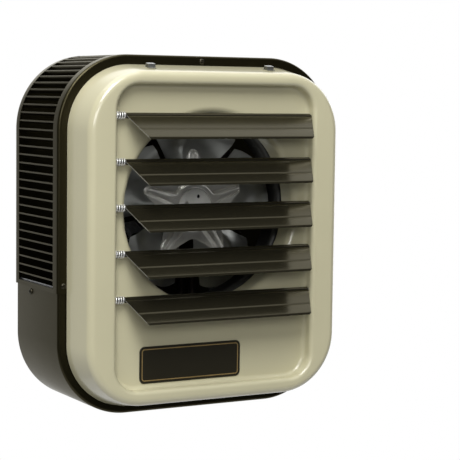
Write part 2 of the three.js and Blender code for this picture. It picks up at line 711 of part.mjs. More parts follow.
/** A sheathed element with its fins: up from one terminal, round the motor, and down to the other. */
function heatingElement() {
  const { radius, terminalX, tube: sheath, fin, finThick, fins, finFrom } = ELEMENT;
  const line = [];
  const radii = [];
  const add = (x, z, r = sheath) => {
    line.push(new THREE.Vector3(x, 0, z));
    radii.push(r);
  };
  const onRing = (degrees, along = 0, r = sheath) => {
    const angle = rad(degrees - 90) + along / radius;
    add(radius * Math.cos(angle), radius * Math.sin(angle), r);
  };
  add(terminalX, SHELF.z - 20 - OUTLET.z);
  add(terminalX, -radius - 7);
  add(terminalX + 4, -radius + 2);
  for (const degrees of [28, 38, 47.3, 56.3]) onRing(degrees);
  for (let i = 0; i < fins; i += 1) {
    const degrees = THREE.MathUtils.lerp(finFrom, 360 - finFrom, i / (fins - 1));
    onRing(degrees, -finThick / 2 - 0.02);
    onRing(degrees, -finThick / 2, fin);
    onRing(degrees, finThick / 2, fin);
    onRing(degrees, finThick / 2 + 0.02);
  }
  for (const degrees of [303.7, 312.7, 322, 332]) onRing(degrees);
  add(-terminalX - 4, -radius + 2);
  add(-terminalX, -radius - 7);
  add(-terminalX, SHELF.z - 20 - OUTLET.z);
  return tube(line, radii, 6);
}

/** An angle strap that stands on the shelf and carries both elements. */
function elementStrap(side) {
  const foot = SHELF.z + SHEET + GAP;
  const x = side * STRAP_X;
  const drop = Math.sqrt(ELEMENT.radius ** 2 - STRAP_X ** 2);
  const y0 = ELEMENT_Y[0] - 9;
  const y1 = ELEMENT_Y[1] + 9;
  const upright = block([x - 0.8, y0, foot], [x + 0.8, y1, OUTLET.z - drop + 12]);
  const pad = block([x + (side > 0 ? 0 : -12), y0, foot], [x + (side > 0 ? 12 : 0), y1, foot + 1.6]);
  const holes = ELEMENT_Y.map((y) => {
    const radius = ELEMENT.tube + 2 * GAP;
    const eye = new THREE.CylinderGeometry(radius, radius, 24, 10).rotateX(Math.PI / 2);
    return solid(eye.rotateY(side * Math.atan2(drop, STRAP_X)).translate(x, y, OUTLET.z - drop));
  });
  return cut(join(upright, pad), ...holes);
}

/** A moulded block with a row of terminal screws between barriers on its front. */
function terminalBox([x0, y0, z0], [x1, y1, z1], poles) {
  const width = (x1 - x0) / poles;
  const middle = (z0 + z1) / 2;
  const screws = Array.from({ length: poles }, (_, i) =>
    bar('y', width * 0.22, y0 - 1.4, y0 + 2, [x0 + (i + 0.5) * width, 0, middle], 8),
  );
  const barriers = Array.from({ length: poles - 1 }, (_, i) => {
    const x = x0 + (i + 1) * width;
    return block([x - 0.7, y0 - 4, z0 + 2], [x + 0.7, y0 + 1, z1 - 2]);
  });
  return join(block([x0, y0, z0], [x1, y1, z1]), ...screws, ...barriers);
}

/** A laminated core with its winding, hung from the shelf by two feet. */
function transformer() {
  const top = SHELF.z - GAP;
  const feet = block([50, 0, top - 1.6], [122, 18, top]);
  const core = block([60, -12, top - 46], [112, 30, top - 1]);
  const winding = block([70, -22, top - 38], [102, 40, top - 9]);
  return join(core, winding, feet);
}

/** A snap-disc thermostat: a cup on a flange, with two blade terminals. */
function thermalCutout() {
  const top = SHELF.z + SHEET + GAP;
  const flange = block([112, -30, top], [144, -14, top + 1.2]);
  const cup = bar('z', 7.5, top + 1, top + 12, [128, -22, 0], 16);
  const blades = [-4, 4].map((x) => block([128 + x - 0.4, -24, top + 11], [128 + x + 0.4, -18, top + 20]));
  return join(flange, cup, ...blades);
}

/** A cross-headed pan screw: the head stands on its own origin and the shank points along +Y. */
function screw(radius, shank) {
  const head = radius * 0.62;
  const outline = [
    [0, -head],
    [radius * 0.65, -head],
    [radius, -head * 0.4],
    [radius, 0],
    [1.9, 0],
    [1.9, shank],
    [0, shank],
  ];
  const slots = [0, Math.PI / 2].map((turn) =>
    solid(new THREE.BoxGeometry(radius, head, 0.9).translate(0, -head, 0).rotateY(turn)),
  );
  return cut(turned(outline, 8), ...slots);
}

/** The press nut under the cabinet's top that takes a threaded hanging rod. */
function hangerNut() {
  const top = -SHEET - GAP;
  const hexagon = new THREE.CylinderGeometry(10.5, 10.5, 9, 6).rotateX(Math.PI / 2);
  const flange = bar('z', 13, top - 2, top, [0, 0, 0], 12);
  return cut(join(solid(hexagon.translate(0, 0, top - 4.5)), flange), bar('z', 4.6, -20, 5, [0, 0, 0], 12));
}

/** A sprung sheet clip that hooks the pan's top wall: a bridge with two turned-out feet. */
function panClip() {
  const line = [[-6.5, 0.4], [-3.6, 0.4], [-3.2, 4.4], [3.2, 4.4], [3.6, 0.4], [6.5, 0.4]];
  return alongX(stripOutline(line, 0.8), -CLIP.width / 2, CLIP.width / 2);
}

/** The hub: a drilled front cap, a flange behind the spider and a sleeve for the shaft. */
function fanHub() {
  const r = FAN.hubRadius;
  const cap = [[0, 0], [r - 0.6, 0], [r, 0.6], [r, 3.1]];
  const hub = turned([...cap, [26, 3.1], [26, 5.1], [9, 5.1], [9, 22], [0, 22]], 20);
  const bore = bar('y', MOTOR.shaft + GAP, 4, 30, [0, 0, 0], 16);
  const holes = [72, 162, 252, 342].map((angle) =>
    bar('y', 1.7, -2, 2.2, [12.2 * Math.cos(rad(angle)), 0, 12.2 * Math.sin(rad(angle))], 8),
  );
  return cut(hub, bore, ...holes);
}

/** The deck behind the pan: a plate drawn into a ring that runs close round the blade tips. */
function fanShroud() {
  const { radius, y, rearY, flare } = SHROUD;
  const margin = 6;
  const outline = roundedRectangle(
    CABINET.width / 2 - margin,
    CABINET.height / 2 - margin,
    CABINET.corner - margin,
    0,
    MIDDLE_Z,
  );
  const plate = cut(alongY(outline, y, y + SHEET, { segments: 4 }), slab(-500, SHELF.z + 3));
  const section = [
    [radius, y - 3],
    [radius + SHEET, y - 3],
    [radius + SHEET, rearY - flare],
    [radius + SHEET + flare, rearY],
    [radius + flare, rearY + SHEET],
    [radius, rearY - flare + SHEET],
    [radius, y - 3],
  ];
  const hole = bar('y', radius + SHEET / 2, y - 9, y + 9, [0, 0, OUTLET.z], 36);
  return join(cut(plate, hole), turned(section, 36, [0, 0, OUTLET.z]));
}

// ---- assembly ---------------------------------------------------------------------------------------
const heater = new THREE.Group();

/** A turning or placed sub-assembly of the heater. */
function subAssembly(x, y, z) {
  const group = new THREE.Group();
  group.position.set(x, y, z);
  heater.add(group);
  return group;
}

piece(heater, 'upper_wrapper', upperWrapper(), BRONZE_ENAMEL);
piece(heater, 'lower_cover', lowerCover(), BRONZE_ENAMEL);
piece(heater, 'rear_panel', rearPanel(), BRONZE_ENAMEL);
piece(heater, 'divider_shelf', dividerShelf(), GALVANISED);
piece(heater, 'fan_shroud', fanShroud(), GALVANISED);
piece(heater, 'front_pan', frontPan(), ALMOND_ENAMEL);

const panFloorY = FRONT_Y - PAN.forward + RECESS.depth;
const plateOutline = roundedRectangle(PLATE.width / 2, PLATE.height / 2, PLATE.corner, PLATE.x, PLATE.z);
const plateRear = panFloorY - GAP;
const nameplate = alongY(plateOutline, plateRear - PLATE.thick, plateRear, { segments: 3 });
piece(heater, 'nameplate', nameplate, PLATE_BROWN);

const panTopAtClip = MIDDLE_Z + PAN.halfHeight - Math.tan(rad(PAN.draft)) * (FRONT_Y - CLIP.y);
for (const [name, side] of [['panel_clip_left', -1], ['panel_clip_right', 1]]) {
  const seat = subAssembly(side * CLIP.x, CLIP.y, panTopAtClip + GAP + 0.1);
  const clip = piece(seat, name, panClip(), GALVANISED);
  clip.rotation.x = rad(PAN.draft);
}

// Outlet louvres, numbered from the top.
louvreHeights().forEach((z, i) => {
  const louvre = subAssembly(0, LOUVRE.y, z);
  louvre.rotation.x = -rad(LOUVRE_REST);
  piece(louvre, `louvre_${i + 1}_blade`, louvreBlade(), BRONZE_GLOSS);
  piece(louvre, `louvre_${i + 1}_pin`, louvrePin(), BRIGHT_STEEL);
  piece(louvre, `louvre_${i + 1}_spring`, tube(springLine(), SPRING.wire, 5), BRIGHT_STEEL);
});
console.log(`least gap between turns of the louvre springs: ${leastSelfGap(springLine()).toFixed(2)} mm`);

// Fan, shaft and motor share the outlet's axis.
const fan = subAssembly(0, FAN.frontY, OUTLET.z);
piece(fan, 'fan_hub', fanHub(), BRIGHT_STEEL);
piece(fan, 'fan_spider', fanSpider(), BRIGHT_STEEL);
for (let i = 0; i < FAN.blades; i += 1) {
  piece(fan, `fan_blade_${i + 1}`, fanBlade(i), FAN_ALUMINIUM);
}
const shaftRear = MOTOR.frontY + 15 - FAN.frontY;
piece(fan, 'motor_shaft', bar('y', MOTOR.shaft, 4.3, shaftRear, [0, 0, 0], 16), BRIGHT_STEEL);

const motor = subAssembly(0, 0, OUTLET.z);
piece(motor, 'motor_body', motorBody(), MOTOR_BLACK);
piece(motor, 'motor_mount', motorMount(), GALVANISED);

// Heating elements, one behind the other round the motor.
ELEMENT_Y.forEach((y, i) => {
  piece(subAssembly(0, y, OUTLET.z), `heating_element_${i + 1}`, heatingElement(), ELEMENT_STEEL);
});
piece(heater, 'element_strap_left', elementStrap(-1), GALVANISED);
piece(heater, 'element_strap_right', elementStrap(1), GALVANISED);

// Wiring compartment.
const controlRear = PANEL_Y - GAP;
piece(heater, 'thermal_cutout', thermalCutout(), BRIGHT_STEEL);
piece(heater, 'contactor', terminalBox([-126, 8, -366], [-74, controlRear, -310], 3), MOULDED_BLACK);
piece(heater, 'transformer', transformer(), MOTOR_BLACK);
piece(heater, 'terminal_block', terminalBox([-44, 38, -374], [36, controlRear, -350], 5), MOULDED_BLACK);

// Hanging nuts and the screws of the cabinet.
piece(subAssembly(-HANGER.x, 0, 0), 'hanger_nut_left', hangerNut(), GALVANISED);
piece(subAssembly(HANGER.x, 0, 0), 'hanger_nut_right', hangerNut(), GALVANISED);

const bandY = FRONT_Y - GAP;
piece(subAssembly(0, bandY, BAND_SCREW.topZ), 'band_screw_top', screw(3.6, 1.4), BRONZE_ENAMEL);
piece(subAssembly(-BAND_SCREW.x, bandY, BAND_SCREW.sideZ), 'band_screw_left', screw(3.6, 3), BRONZE_ENAMEL);
piece(subAssembly(BAND_SCREW.x, bandY, BAND_SCREW.sideZ), 'band_screw_right', screw(3.6, 3), BRONZE_ENAMEL);

for (const [name, side] of [['cover_screw_left', -1], ['cover_screw_right', 1]]) {
  const edge = side * (CABINET.width / 2 - COVER_INSET + GAP);
  const fixing = piece(subAssembly(edge, SIDE_SCREW.y, SIDE_SCREW.z), name, screw(3.6, 5), BRONZE_ENAMEL);
  fixing.rotation.z = (side * Math.PI) / 2;
}

export default heater;
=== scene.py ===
"""Looks of a suspended fan heater: a louvred bronze cabinet with a drawn almond front pan, five sprung
outlet louvres, and the fan behind them. Every surface is worked out in millimetres and stored in metres,
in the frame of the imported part: +Z up, the outlet towards -Y, the origin on the middle of the top."""

import math

import bpy
import numpy as np
from mathutils import Matrix, Vector


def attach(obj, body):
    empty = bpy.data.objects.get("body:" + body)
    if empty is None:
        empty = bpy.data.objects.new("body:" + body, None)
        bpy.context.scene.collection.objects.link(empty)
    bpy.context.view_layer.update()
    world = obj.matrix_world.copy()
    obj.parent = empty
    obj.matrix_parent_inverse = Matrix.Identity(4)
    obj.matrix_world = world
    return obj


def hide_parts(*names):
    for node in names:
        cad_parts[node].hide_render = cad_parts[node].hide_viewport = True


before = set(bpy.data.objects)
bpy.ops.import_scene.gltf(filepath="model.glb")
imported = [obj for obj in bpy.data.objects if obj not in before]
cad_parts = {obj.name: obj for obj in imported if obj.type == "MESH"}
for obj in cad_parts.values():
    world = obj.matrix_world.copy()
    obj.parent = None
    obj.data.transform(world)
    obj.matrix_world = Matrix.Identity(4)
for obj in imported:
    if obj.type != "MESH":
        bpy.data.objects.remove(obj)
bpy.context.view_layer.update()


def in_scene(name, data):
    """Adds an object made of a mesh, a lamp or a camera to the scene."""
    thing = bpy.data.objects.new(name, data)
    bpy.context.scene.collection.objects.link(thing)
    return thing


# ---- Camera ----
# It stands 1.85 m off, to the left of the heater and a little above its middle, and its roll is that of
# the photograph.
CAMERA_LENS, CAMERA_SENSOR = 122.07, 36.0
CAMERA_PLACE = Vector((-0.8563, -1.6418, -0.0438))
CAMERA_YAW, CAMERA_PITCH, CAMERA_ROLL = (math.radians(a) for a in (29.58, -4.95, 0.74))
camera_data = bpy.data.cameras.new("camera")
camera_data.lens, camera_data.sensor_width = CAMERA_LENS, CAMERA_SENSOR
camera = in_scene("camera", camera_data)
camera.matrix_world = (
    Matrix.Translation(CAMERA_PLACE)
    @ Matrix.Rotation(-CAMERA_YAW, 4, "Z")
    @ Matrix.Rotation(math.pi / 2 + CAMERA_PITCH, 4, "X")
    @ Matrix.Rotation(CAMERA_ROLL, 4, "Z")
)
bpy.context.scene.camera = camera

# ---- Upper wrapper ----
# One sheet of 1.2 mm steel folded over both sides and the top, with a lip turned in at the front and the
# rear. Its intake slots are lanced and their strips folded inward from the upper edge, which leaves
# narrow round-edged bars. It is finished in dark bronze enamel.
MM = 0.001
SIDES = (("left", -1), ("right", 1))
SHEET = 1.2
WIDTH, HEIGHT, DEPTH = 355.6, 406.4, 124.0
CORNER, BEND, LIP = 85.7, 3.0, 18.0
CORNER_STEPS = 48
SEAM_Z = -265.7
SLOT_PITCH, SLOT_OPEN = 9.79, 7.6
SLOT_FRONT_Y, SLOT_REAR_Y = -49.0, 51.0
SLOTS_DOWN_SIDE, SLOTS_ROUND_CORNER = 18, 14
FIN_DEPTH, FIN_ANGLE, FIN_SHEET, FIN_BEND = 5.2, 75.0, 1.1, 1.5
LAST_BAR_HALF = 0.9


def joined(*coordinates):
    """Arrays of coordinates joined into points."""
    return np.stack(coordinates, axis=-1)


def around(angle):
    """Directions (cos, sin) at angles in radians."""
    return joined(np.cos(angle), np.sin(angle))


def arc(centre, radius, start, end, steps):
    """Points on a circle, centre + radius * (cos a, sin a), with a running evenly in degrees."""
    return np.array(centre) + radius * around(np.radians(np.linspace(start, end, steps + 1)))


def at_depth(flat, y):
    """Points (x, z) with the depth y added, as (x, y, z)."""
    return np.insert(flat, 1, y, axis=-1)


def faces_of(patch):
    """The points kept of a grid and its index faces: quads between neighbouring rows, closed across the
    columns, and either closed along the rows too or with a flat face at each end."""
    closed = np.allclose(patch[0], patch[-1])
    rows = patch[:-1] if closed else patch
    index = np.arange(rows.shape[0] * rows.shape[1]).reshape(rows.shape[:2])
    here, below = (index, np.roll(index, -1, axis=0)) if closed else (index[:-1], index[1:])
    quads = joined(here, below, np.roll(below, -1, 1), np.roll(here, -1, 1)).reshape(-1, 4)
    groups = [quads] if closed else [quads, index[:1], index[-1:, ::-1]]
    return rows.reshape(-1, 3), groups


def signed_volume(points, faces):
    """Six times the volume under a group of faces, as fans of triangles from each face's first corner."""
    first, second, third = points[faces[:, :1]], points[faces[:, 1:-1]], points[faces[:, 2:]]
    return np.sum(first * np.cross(second, third))


def surface(name, patches, crease=35.0):
    """One mesh from grids of points in millimetres, each of shape (rows, columns, 3). The faces of a grid
    are turned outward by the sign of the volume that they close."""
    points, corners, sizes, base = [], [], [], 0
    for patch in patches:
        kept, groups = faces_of(np.asarray(patch, float))
        outward = sum(signed_volume(kept, group) for group in groups) > 0
        for group in groups:
            turned_out = group if outward else group[:, ::-1]
            corners.append((turned_out + base).ravel())
            sizes.append(np.full(len(group), group.shape[1]))
        points.append(kept)
        base += len(kept)
    points, corners, sizes = np.concatenate(points), np.concatenate(corners), np.concatenate(sizes)
    mesh = bpy.data.meshes.new(name)
    mesh.vertices.add(len(points))
    mesh.vertices.foreach_set("co", (points * MM).ravel())
    mesh.loops.add(len(corners))
    mesh.loops.foreach_set("vertex_index", corners)
    mesh.polygons.add(len(sizes))
    mesh.polygons.foreach_set("loop_start", np.concatenate([[0], np.cumsum(sizes)[:-1]]))
    mesh.update(calc_edges=True)
    mesh.polygons.foreach_set("use_smooth", np.ones(len(sizes), bool))
    mesh.set_sharp_from_angle(angle=math.radians(crease))
    return mesh


def fit(name, patches, material, slot, body, *nodes, crease=35.0):
    """Adds a piece made of patches with its finish and the body that it rides on, and hides the plain nodes
    that it stands for."""
    piece = in_scene(name, surface(name, patches, crease))
    piece.data.materials.append(material)
    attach(piece, body)
    if nodes:
        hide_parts(*nodes)
    return piece


def carried(section, centres, outward, corner):
    """A section carried along a rounded outline: the point (q, y) of the section lies at
    centre + (corner - q) * outward in (x, z), and at y."""
    reach = corner - section[:, 0]
    flat = centres[:, None, :] + reach[None, :, None] * outward[:, None, :]
    return at_depth(flat, section[:, 1])


def u_path(start, corner_z, end_z):
    """Corner centres and outward directions of a U as wide as the cabinet, whose two corners lie at
    corner_z and whose legs run to end_z. The directions turn through half a circle from start, in degrees:
    0 is an arch, from the right side over to the left, and 180 is a trough, from the left to the right."""
    quarter = np.radians(np.linspace(0, 90, CORNER_STEPS + 1))
    turn = math.radians(start) + np.concatenate([[0.0], quarter, quarter + math.pi / 2, [math.pi]])
    across = math.cos(math.radians(start)) * (WIDTH / 2 - CORNER)
    x = np.repeat([across, -across], CORNER_STEPS + 2)
    z = np.full(len(x), corner_z)
    z[0] = z[-1] = end_z
    return joined(x, z), around(turn)


def feed(tree, node, inputs):
    """Sets each input of a node, by name or number, to a value, or links it to another node's output."""
    for key, value in inputs.items():
        if isinstance(value, bpy.types.NodeSocket):
            tree.links.new(value, node.inputs[key])
        else:
            node.inputs[key].default_value = value


def added(tree, kind, output, inputs, **settings):
    """Adds a shader node with its settings and inputs, and gives back the named output."""
    node = tree.nodes.new(f"ShaderNode{kind}")
    for key, value in settings.items():
        setattr(node, key, value)
    feed(tree, node, inputs)
    return node.outputs[output]


def new_finish(name, inputs):
    """A material with plain values on its shader: it, its node tree and the object's own coordinates."""
    material = bpy.data.materials.new(name)
    material.use_nodes = True
    tree = material.node_tree
    feed(tree, tree.nodes["Principled BSDF"], inputs)
    return material, tree, added(tree, "TexCoord", "Object", {})


def noise(tree, place, scale, detail):
    """Cloudy noise over a place, from 0 to 1."""
    return added(tree, "TexNoise", "Fac", {"Vector": place, "Scale": scale, "Detail": detail})


def patterned(tree, tone, span, colour, spread, rough, limits, relief, strength, height):
    """Joins three patterns to the shader. The tone pattern, between the two levels of span, scales the
    colour by the two factors of spread. The rough one sets the roughness between its limits, and the relief
    one is a bump whose height is in millimetres."""
    ramp = tree.nodes.new("ShaderNodeValToRGB")
    for element, position, factor in zip(ramp.color_ramp.elements, span, spread):
        element.position = position
        element.color = (*[min(c * factor, 1) for c in colour], 1)
    feed(tree, ramp, {"Fac": tone})
    low, high = limits
    relief_inputs = {"Height": relief, "Strength": strength, "Distance": height * MM}
    feed(tree, tree.nodes["Principled BSDF"], {
        "Base Color": ramp.outputs["Color"],
        "Roughness": added(tree, "MapRange", "Result", {"Value": rough, "To Min": low, "To Max": high}),
        "Normal": added(tree, "Bump", "Normal", relief_inputs),
    })


def enamel(name, colour, roughness, peel, coat, metal=0.0, edge=(1.0, 1.0, 1.0)):
    """Baked enamel: an even colour with a slow drift, a faint orange peel in its surface, and a clear gloss
    over it. The peel is the height of the bump in millimetres, and edge tints what the paint mirrors at a
    low angle."""
    material, tree, place = new_finish(name, {
        "Metallic": metal, "Specular Tint": (*edge, 1), "Coat Weight": coat, "Coat Roughness": 0.12,
    })
    limits = (roughness - 0.02, roughness + 0.02)
    patterned(tree, noise(tree, place, 14, 6), (0.3, 0.7), colour, (0.98, 1.015),
              noise(tree, place, 60, 4), limits, noise(tree, place, 520, 2), 0.35, peel)
    return material


bronze = enamel("bronze_enamel", (0.036, 0.031, 0.014), 0.32, 0.03, 0.05, metal=0.88, edge=(1.0, 0.975, 0.88))

front_y, rear_y = -DEPTH / 2, DEPTH / 2
wrapper_path = u_path(0, -CORNER, SEAM_Z)


def lipped_edge(side, end_y):
    """Closed section (q, y) of the wrapper's front or rear edge, side -1 or 1: the flat side from end_y,
    the round bend and the lip that is turned in, and back along the inner face."""
    face, middle = side * rear_y, side * (rear_y - BEND)
    outer = arc((BEND, 0), BEND, 180, 270, 8) * (1, -side) + (0, middle)
    inner = arc((BEND, 0), BEND - SHEET, 270, 180, 8) * (1, -side) + (0, middle)
    lip = [(LIP, face), (LIP, face - side * SHEET)]
    return np.concatenate([[(0, end_y)], outer, lip, inner, [(SHEET, end_y)]])


wrapper_edges = (lipped_edge(-1, SLOT_FRONT_Y), lipped_edge(1, SLOT_REAR_Y))
wrapper = [carried(edge, *wrapper_path, CORNER) for edge in wrapper_edges]

corner_start = -CORNER - SEAM_Z
corner_run = CORNER * math.pi / 2


def on_skin(section, distance, side):
    """A section (out, up) set on the cabinet's skin at a distance along it from the foot of the arch on one
    side, and drawn from the front end of the slots to their rear end."""
    past = distance - corner_start
    turn = min(max(past, 0), corner_run) / CORNER
    out, up = around(turn), around(turn + math.pi / 2)
    corner = (WIDTH / 2 - CORNER - max(past - corner_run, 0), min(SEAM_Z + distance, -CORNER))
    flat = (corner + CORNER * out + section[:, :1] * out + section[:, 1:] * up) * (side, 1)
    return np.array([at_depth(flat, y) for y in (SLOT_FRONT_Y, SLOT_REAR_Y)])


def bar_section(half):
    """Section (out, up) of a bar and the fin folded inward from its lower edge: outer face, round bend,
    fin, and back along the inner side."""
    low = FIN_BEND - half
    centre = (-FIN_BEND, low)
    outer = arc(centre, FIN_BEND, 0, -FIN_ANGLE, 7)
    inner = arc(centre, FIN_BEND - FIN_SHEET, -FIN_ANGLE, 0, 4)
    heading = -around(math.radians(90 - FIN_ANGLE))
    reach = (FIN_DEPTH + outer[-1, 0]) / -heading[0]
    free = [outer[-1] + reach * heading, inner[0] + reach * heading]
    top = [(-FIN_SHEET, half), (-FIN_SHEET * 0.2, half), (0, half - 0.2)]
    return np.concatenate([outer, free, inner, top])


corner_pitch = corner_run / SLOTS_ROUND_CORNER
side_slots = corner_start - (np.arange(SLOTS_DOWN_SIDE)[::-1] + 0.5) * SLOT_PITCH
corner_slots = corner_start + (np.arange(SLOTS_ROUND_CORNER) + 0.5) * corner_pitch
slots = np.concatenate([side_slots, corner_slots])
bars = (slots[:-1] + slots[1:]) / 2
bar_halves = (slots[1:] - slots[:-1] - SLOT_OPEN) / 2
bars = np.append(bars, slots[-1] + SLOT_OPEN / 2 + LAST_BAR_HALF)
bar_halves = np.append(bar_halves, LAST_BAR_HALF)
foot_edge = slots[0] - SLOT_OPEN / 2
sill = np.array([(0, 0), (0, foot_edge), (-SHEET, foot_edge), (-SHEET, 0)])
for side in (1, -1):
    wrapper += [on_skin(bar_section(half), bar, side) for bar, half in zip(bars, bar_halves)]
    wrapper.append(on_skin(sill, 0.0, side))

# The flat top between the slotted corners has a hole for each hanging rod.
HANGER_X, HANGER_HOLE, TOP_EDGE_GAP = 63.5, 5.2, 0.01
top_half = WIDTH / 2 - CORNER


def holed_plate(outline, centre, radius, near, far, up_axis):
    """A flat plate with one round hole: rings that run from the plate's outline to the hole's edge on the
    near face and back on the far face. Outline points keep their bearing from the hole's centre."""
    bearing = np.arctan2(outline[:, 1] - centre[1], outline[:, 0] - centre[0])
    hole = np.array(centre) + radius * around(bearing)
    rings = [(outline, near), (hole, near), (hole, far), (outline, far), (outline, near)]
    return np.array([np.insert(ring, up_axis, level, axis=-1) for ring, level in rings])


def box_outline(x0, x1, y0, y1, steps):
    """The four sides of a rectangle as evenly spaced points, each side with the given count of steps."""
    t = np.linspace(0, 1, steps, endpoint=False)
    sides = [((x0, y0), (x1, y0)), ((x1, y0), (x1, y1)), ((x1, y1), (x0, y1)), ((x0, y1), (x0, y0))]
    return np.concatenate([np.outer(1 - t, a) + np.outer(t, b) for a, b in sides])


for side in (1, -1):
    x0, x1 = sorted((0.0, side * (top_half - TOP_EDGE_GAP)))
    half_top = box_outline(x0, x1, SLOT_FRONT_Y, SLOT_REAR_Y, 16)
    wrapper.append(holed_plate(half_top, (side * HANGER_X, 0), HANGER_HOLE, 0.0, -SHEET, 2))

fit("cabinet_wrapper", wrapper, bronze, "bronze_enamel", "root", "upper_wrapper")

# ---- Hanging nuts ----
# Two flanged hexagon nuts pressed under the top take the threaded rods that the heater hangs from.
# They are galvanised steel, and their bores are threaded.
NUT_HEX, NUT_FLANGE, NUT_BORE, NUT_TALL, NUT_GAP = 10.5, 13.0, 4.8, 9.0, 0.3
THREAD_DEEP, THREAD_POINTS, NUT_STEPS = 0.45, 25, 96


def bare_metal(name, colour, roughness, grain, spangle=False, metal=1.0):
    """Bare or plated metal: its own tone with slow clouds, or, where asked, with the patchy crystals of a
    zinc coat, and a fine grain that sets its roughness and a bump of the given height in millimetres."""
    material, tree, place = new_finish(name, {"Metallic": metal})
    fine = noise(tree, place, 900, 5)
    if spangle:
        tone = added(tree, "TexVoronoi", "Color", {"Vector": place, "Scale": 160})
    else:
        tone = noise(tree, place, 45, 4)
    limits = (max(roughness - 0.08, 0.04), roughness + 0.1)
    patterned(tree, tone, (0.35, 0.65), colour, (0.86, 1.08), fine, limits, fine, 0.4, grain)
    return material


galvanised = bare_metal("galvanised_steel", (0.52, 0.53, 0.54), 0.38, 0.02, spangle=True)


def turned(profile, steps, centre, axis="y"):
    """A profile of (radius, along) points turned about an axis through the centre: each point goes round
    as (radius cos a, radius sin a) at its place along the axis."""
    a = np.linspace(0, 2 * math.pi, steps, endpoint=False)
    r, along = np.asarray(profile, float).T
    u, v = np.outer(r, np.cos(a)), np.outer(r, np.sin(a))
    w = np.broadcast_to(along[:, None], u.shape)
    order = {"x": (w, u, v), "y": (u, w, v), "z": (u, v, w)}[axis]
    return joined(*order) + np.asarray(centre, float)


def hanging_nut():
    """A nut that hangs from z 0: a flange and six flats turned about z, where the flats pull each ring of
    the body in by cos 30 / cos of the bearing from the nearest flat's middle, and a ridged bore."""
    ridge = np.arange(THREAD_POINTS)
    thread = joined(NUT_BORE - THREAD_DEEP * (ridge % 2), -1 - (NUT_TALL - 2) * ridge / (THREAD_POINTS - 1))
    body = [(NUT_BORE, 0), (NUT_FLANGE - 0.5, 0), (NUT_FLANGE, -0.5), (NUT_FLANGE, -1.5), (NUT_HEX, -2.2)]
    body += [(NUT_HEX, -NUT_TALL + 0.8), (NUT_HEX - 0.9, -NUT_TALL), (NUT_BORE, -NUT_TALL)]
    loop = np.concatenate([body, thread[::-1], body[:1]])
    grid = turned(loop, NUT_STEPS, (0, 0, 0), "z")
    bearing = np.arctan2(grid[..., 1], grid[..., 0])
    flats = np.cos(math.pi / 6) / np.cos(bearing % (math.pi / 3) - math.pi / 6)
    on_body = np.abs(loop[:, :1] - NUT_HEX) < 1
    grid[..., :2] *= np.where(on_body, flats, 1.0)[..., None]
    return grid


nut = hanging_nut()
for name, side in SIDES:
    placed = nut + (side * HANGER_X, 0, -SHEET - NUT_GAP)
    fit(f"hanging_nut_{name}", [placed], galvanised, "galvanised_steel", "root", f"hanger_nut_{name}")

# ---- Lower cover ----
# A plain U-shaped cover of the same enamelled steel closes the wiring space. It slides inside the
# wrapper's edge, so a thin seam shows between the two.
COVER_INSET, COVER_TOP = 1.5, SEAM_Z + 2.4
bend_q, half_deep = COVER_INSET + BEND, DEPTH / 2 - COVER_INSET
cover_section = np.concatenate([
    [(LIP, -half_deep)],
    arc((bend_q, -half_deep + BEND), BEND, 270, 180, 8),
    arc((bend_q, half_deep - BEND), BEND, 180, 90, 8),
    [(LIP, half_deep), (LIP, half_deep - SHEET)],
    arc((bend_q, half_deep - BEND), BEND - SHEET, 90, 180, 8),
    arc((bend_q, -half_deep + BEND), BEND - SHEET, 180, 270, 8),
    [(LIP, -half_deep + SHEET)],
])
cover_path = u_path(180, CORNER - HEIGHT - COVER_INSET, COVER_TOP)
cover = carried(cover_section, *cover_path, CORNER)
fit("cabinet_lower_cover", [cover], bronze, "bronze_enamel", "root", "lower_cover")

# ---- Rear panel ----
# A flat enamelled sheet inside the rear lip, with a shallow dished disc in its middle where the motor's
# mounting is riveted on.
MIDDLE_Z = -HEIGHT / 2
OUTLET_Z = -173.2
PANEL_Y = 57.8
PANEL_MARGIN, DISH_RADIUS, DISH_RISE = 5.3, 86.0, 2.5
RIVET_RING, RIVET_RADIUS = 56.0, 4.2
BEARING_REACH = 60.0


def rounded_path(half_width, half_height, corner, per_corner, per_side):
    """A closed rounded rectangle about the cabinet's middle as corner centres and outward directions,
    with evenly spaced points round each corner and along each side."""
    angles = np.linspace(0, math.pi / 2, per_corner + 1)
    share = np.linspace(0, 1, per_side + 1)[1:-1]
    signs = np.array([(1, 1), (-1, 1), (-1, -1), (1, -1)])
    hubs = signs * (half_width - corner, half_height - corner) + (0, MIDDLE_Z)
    centres, turns = [], []
    for k, (here, there) in enumerate(zip(hubs, np.roll(hubs, -1, axis=0))):
        centres += [np.tile(here, (per_corner + 1, 1)), np.outer(1 - share, here) + np.outer(share, there)]
        turns += [angles + k * math.pi / 2, np.full(len(share), (k + 1) * math.pi / 2)]
    return np.concatenate(centres), around(np.concatenate(turns))


def ring_at(path, corner, inset, y):
    """One closed ring at an inward distance from a rounded outline, at depth y."""
    return at_depth(path[0] + (corner - inset) * path[1], y)


def looped(rings):
    """Rings as one grid that comes round to the first ring again."""
    return np.array(rings + rings[:1])


def circle_like(path, radius, y):
    """A ring about the outlet's axis whose points keep the bearings of an outline's points, which are taken
    at one reach from the outline's corner centres."""
    offset = path[0] + BEARING_REACH * path[1] - (0.0, OUTLET_Z)
    bearing = np.arctan2(offset[:, 1], offset[:, 0])
    return at_depth(radius * around(bearing) + (0.0, OUTLET_Z), y)


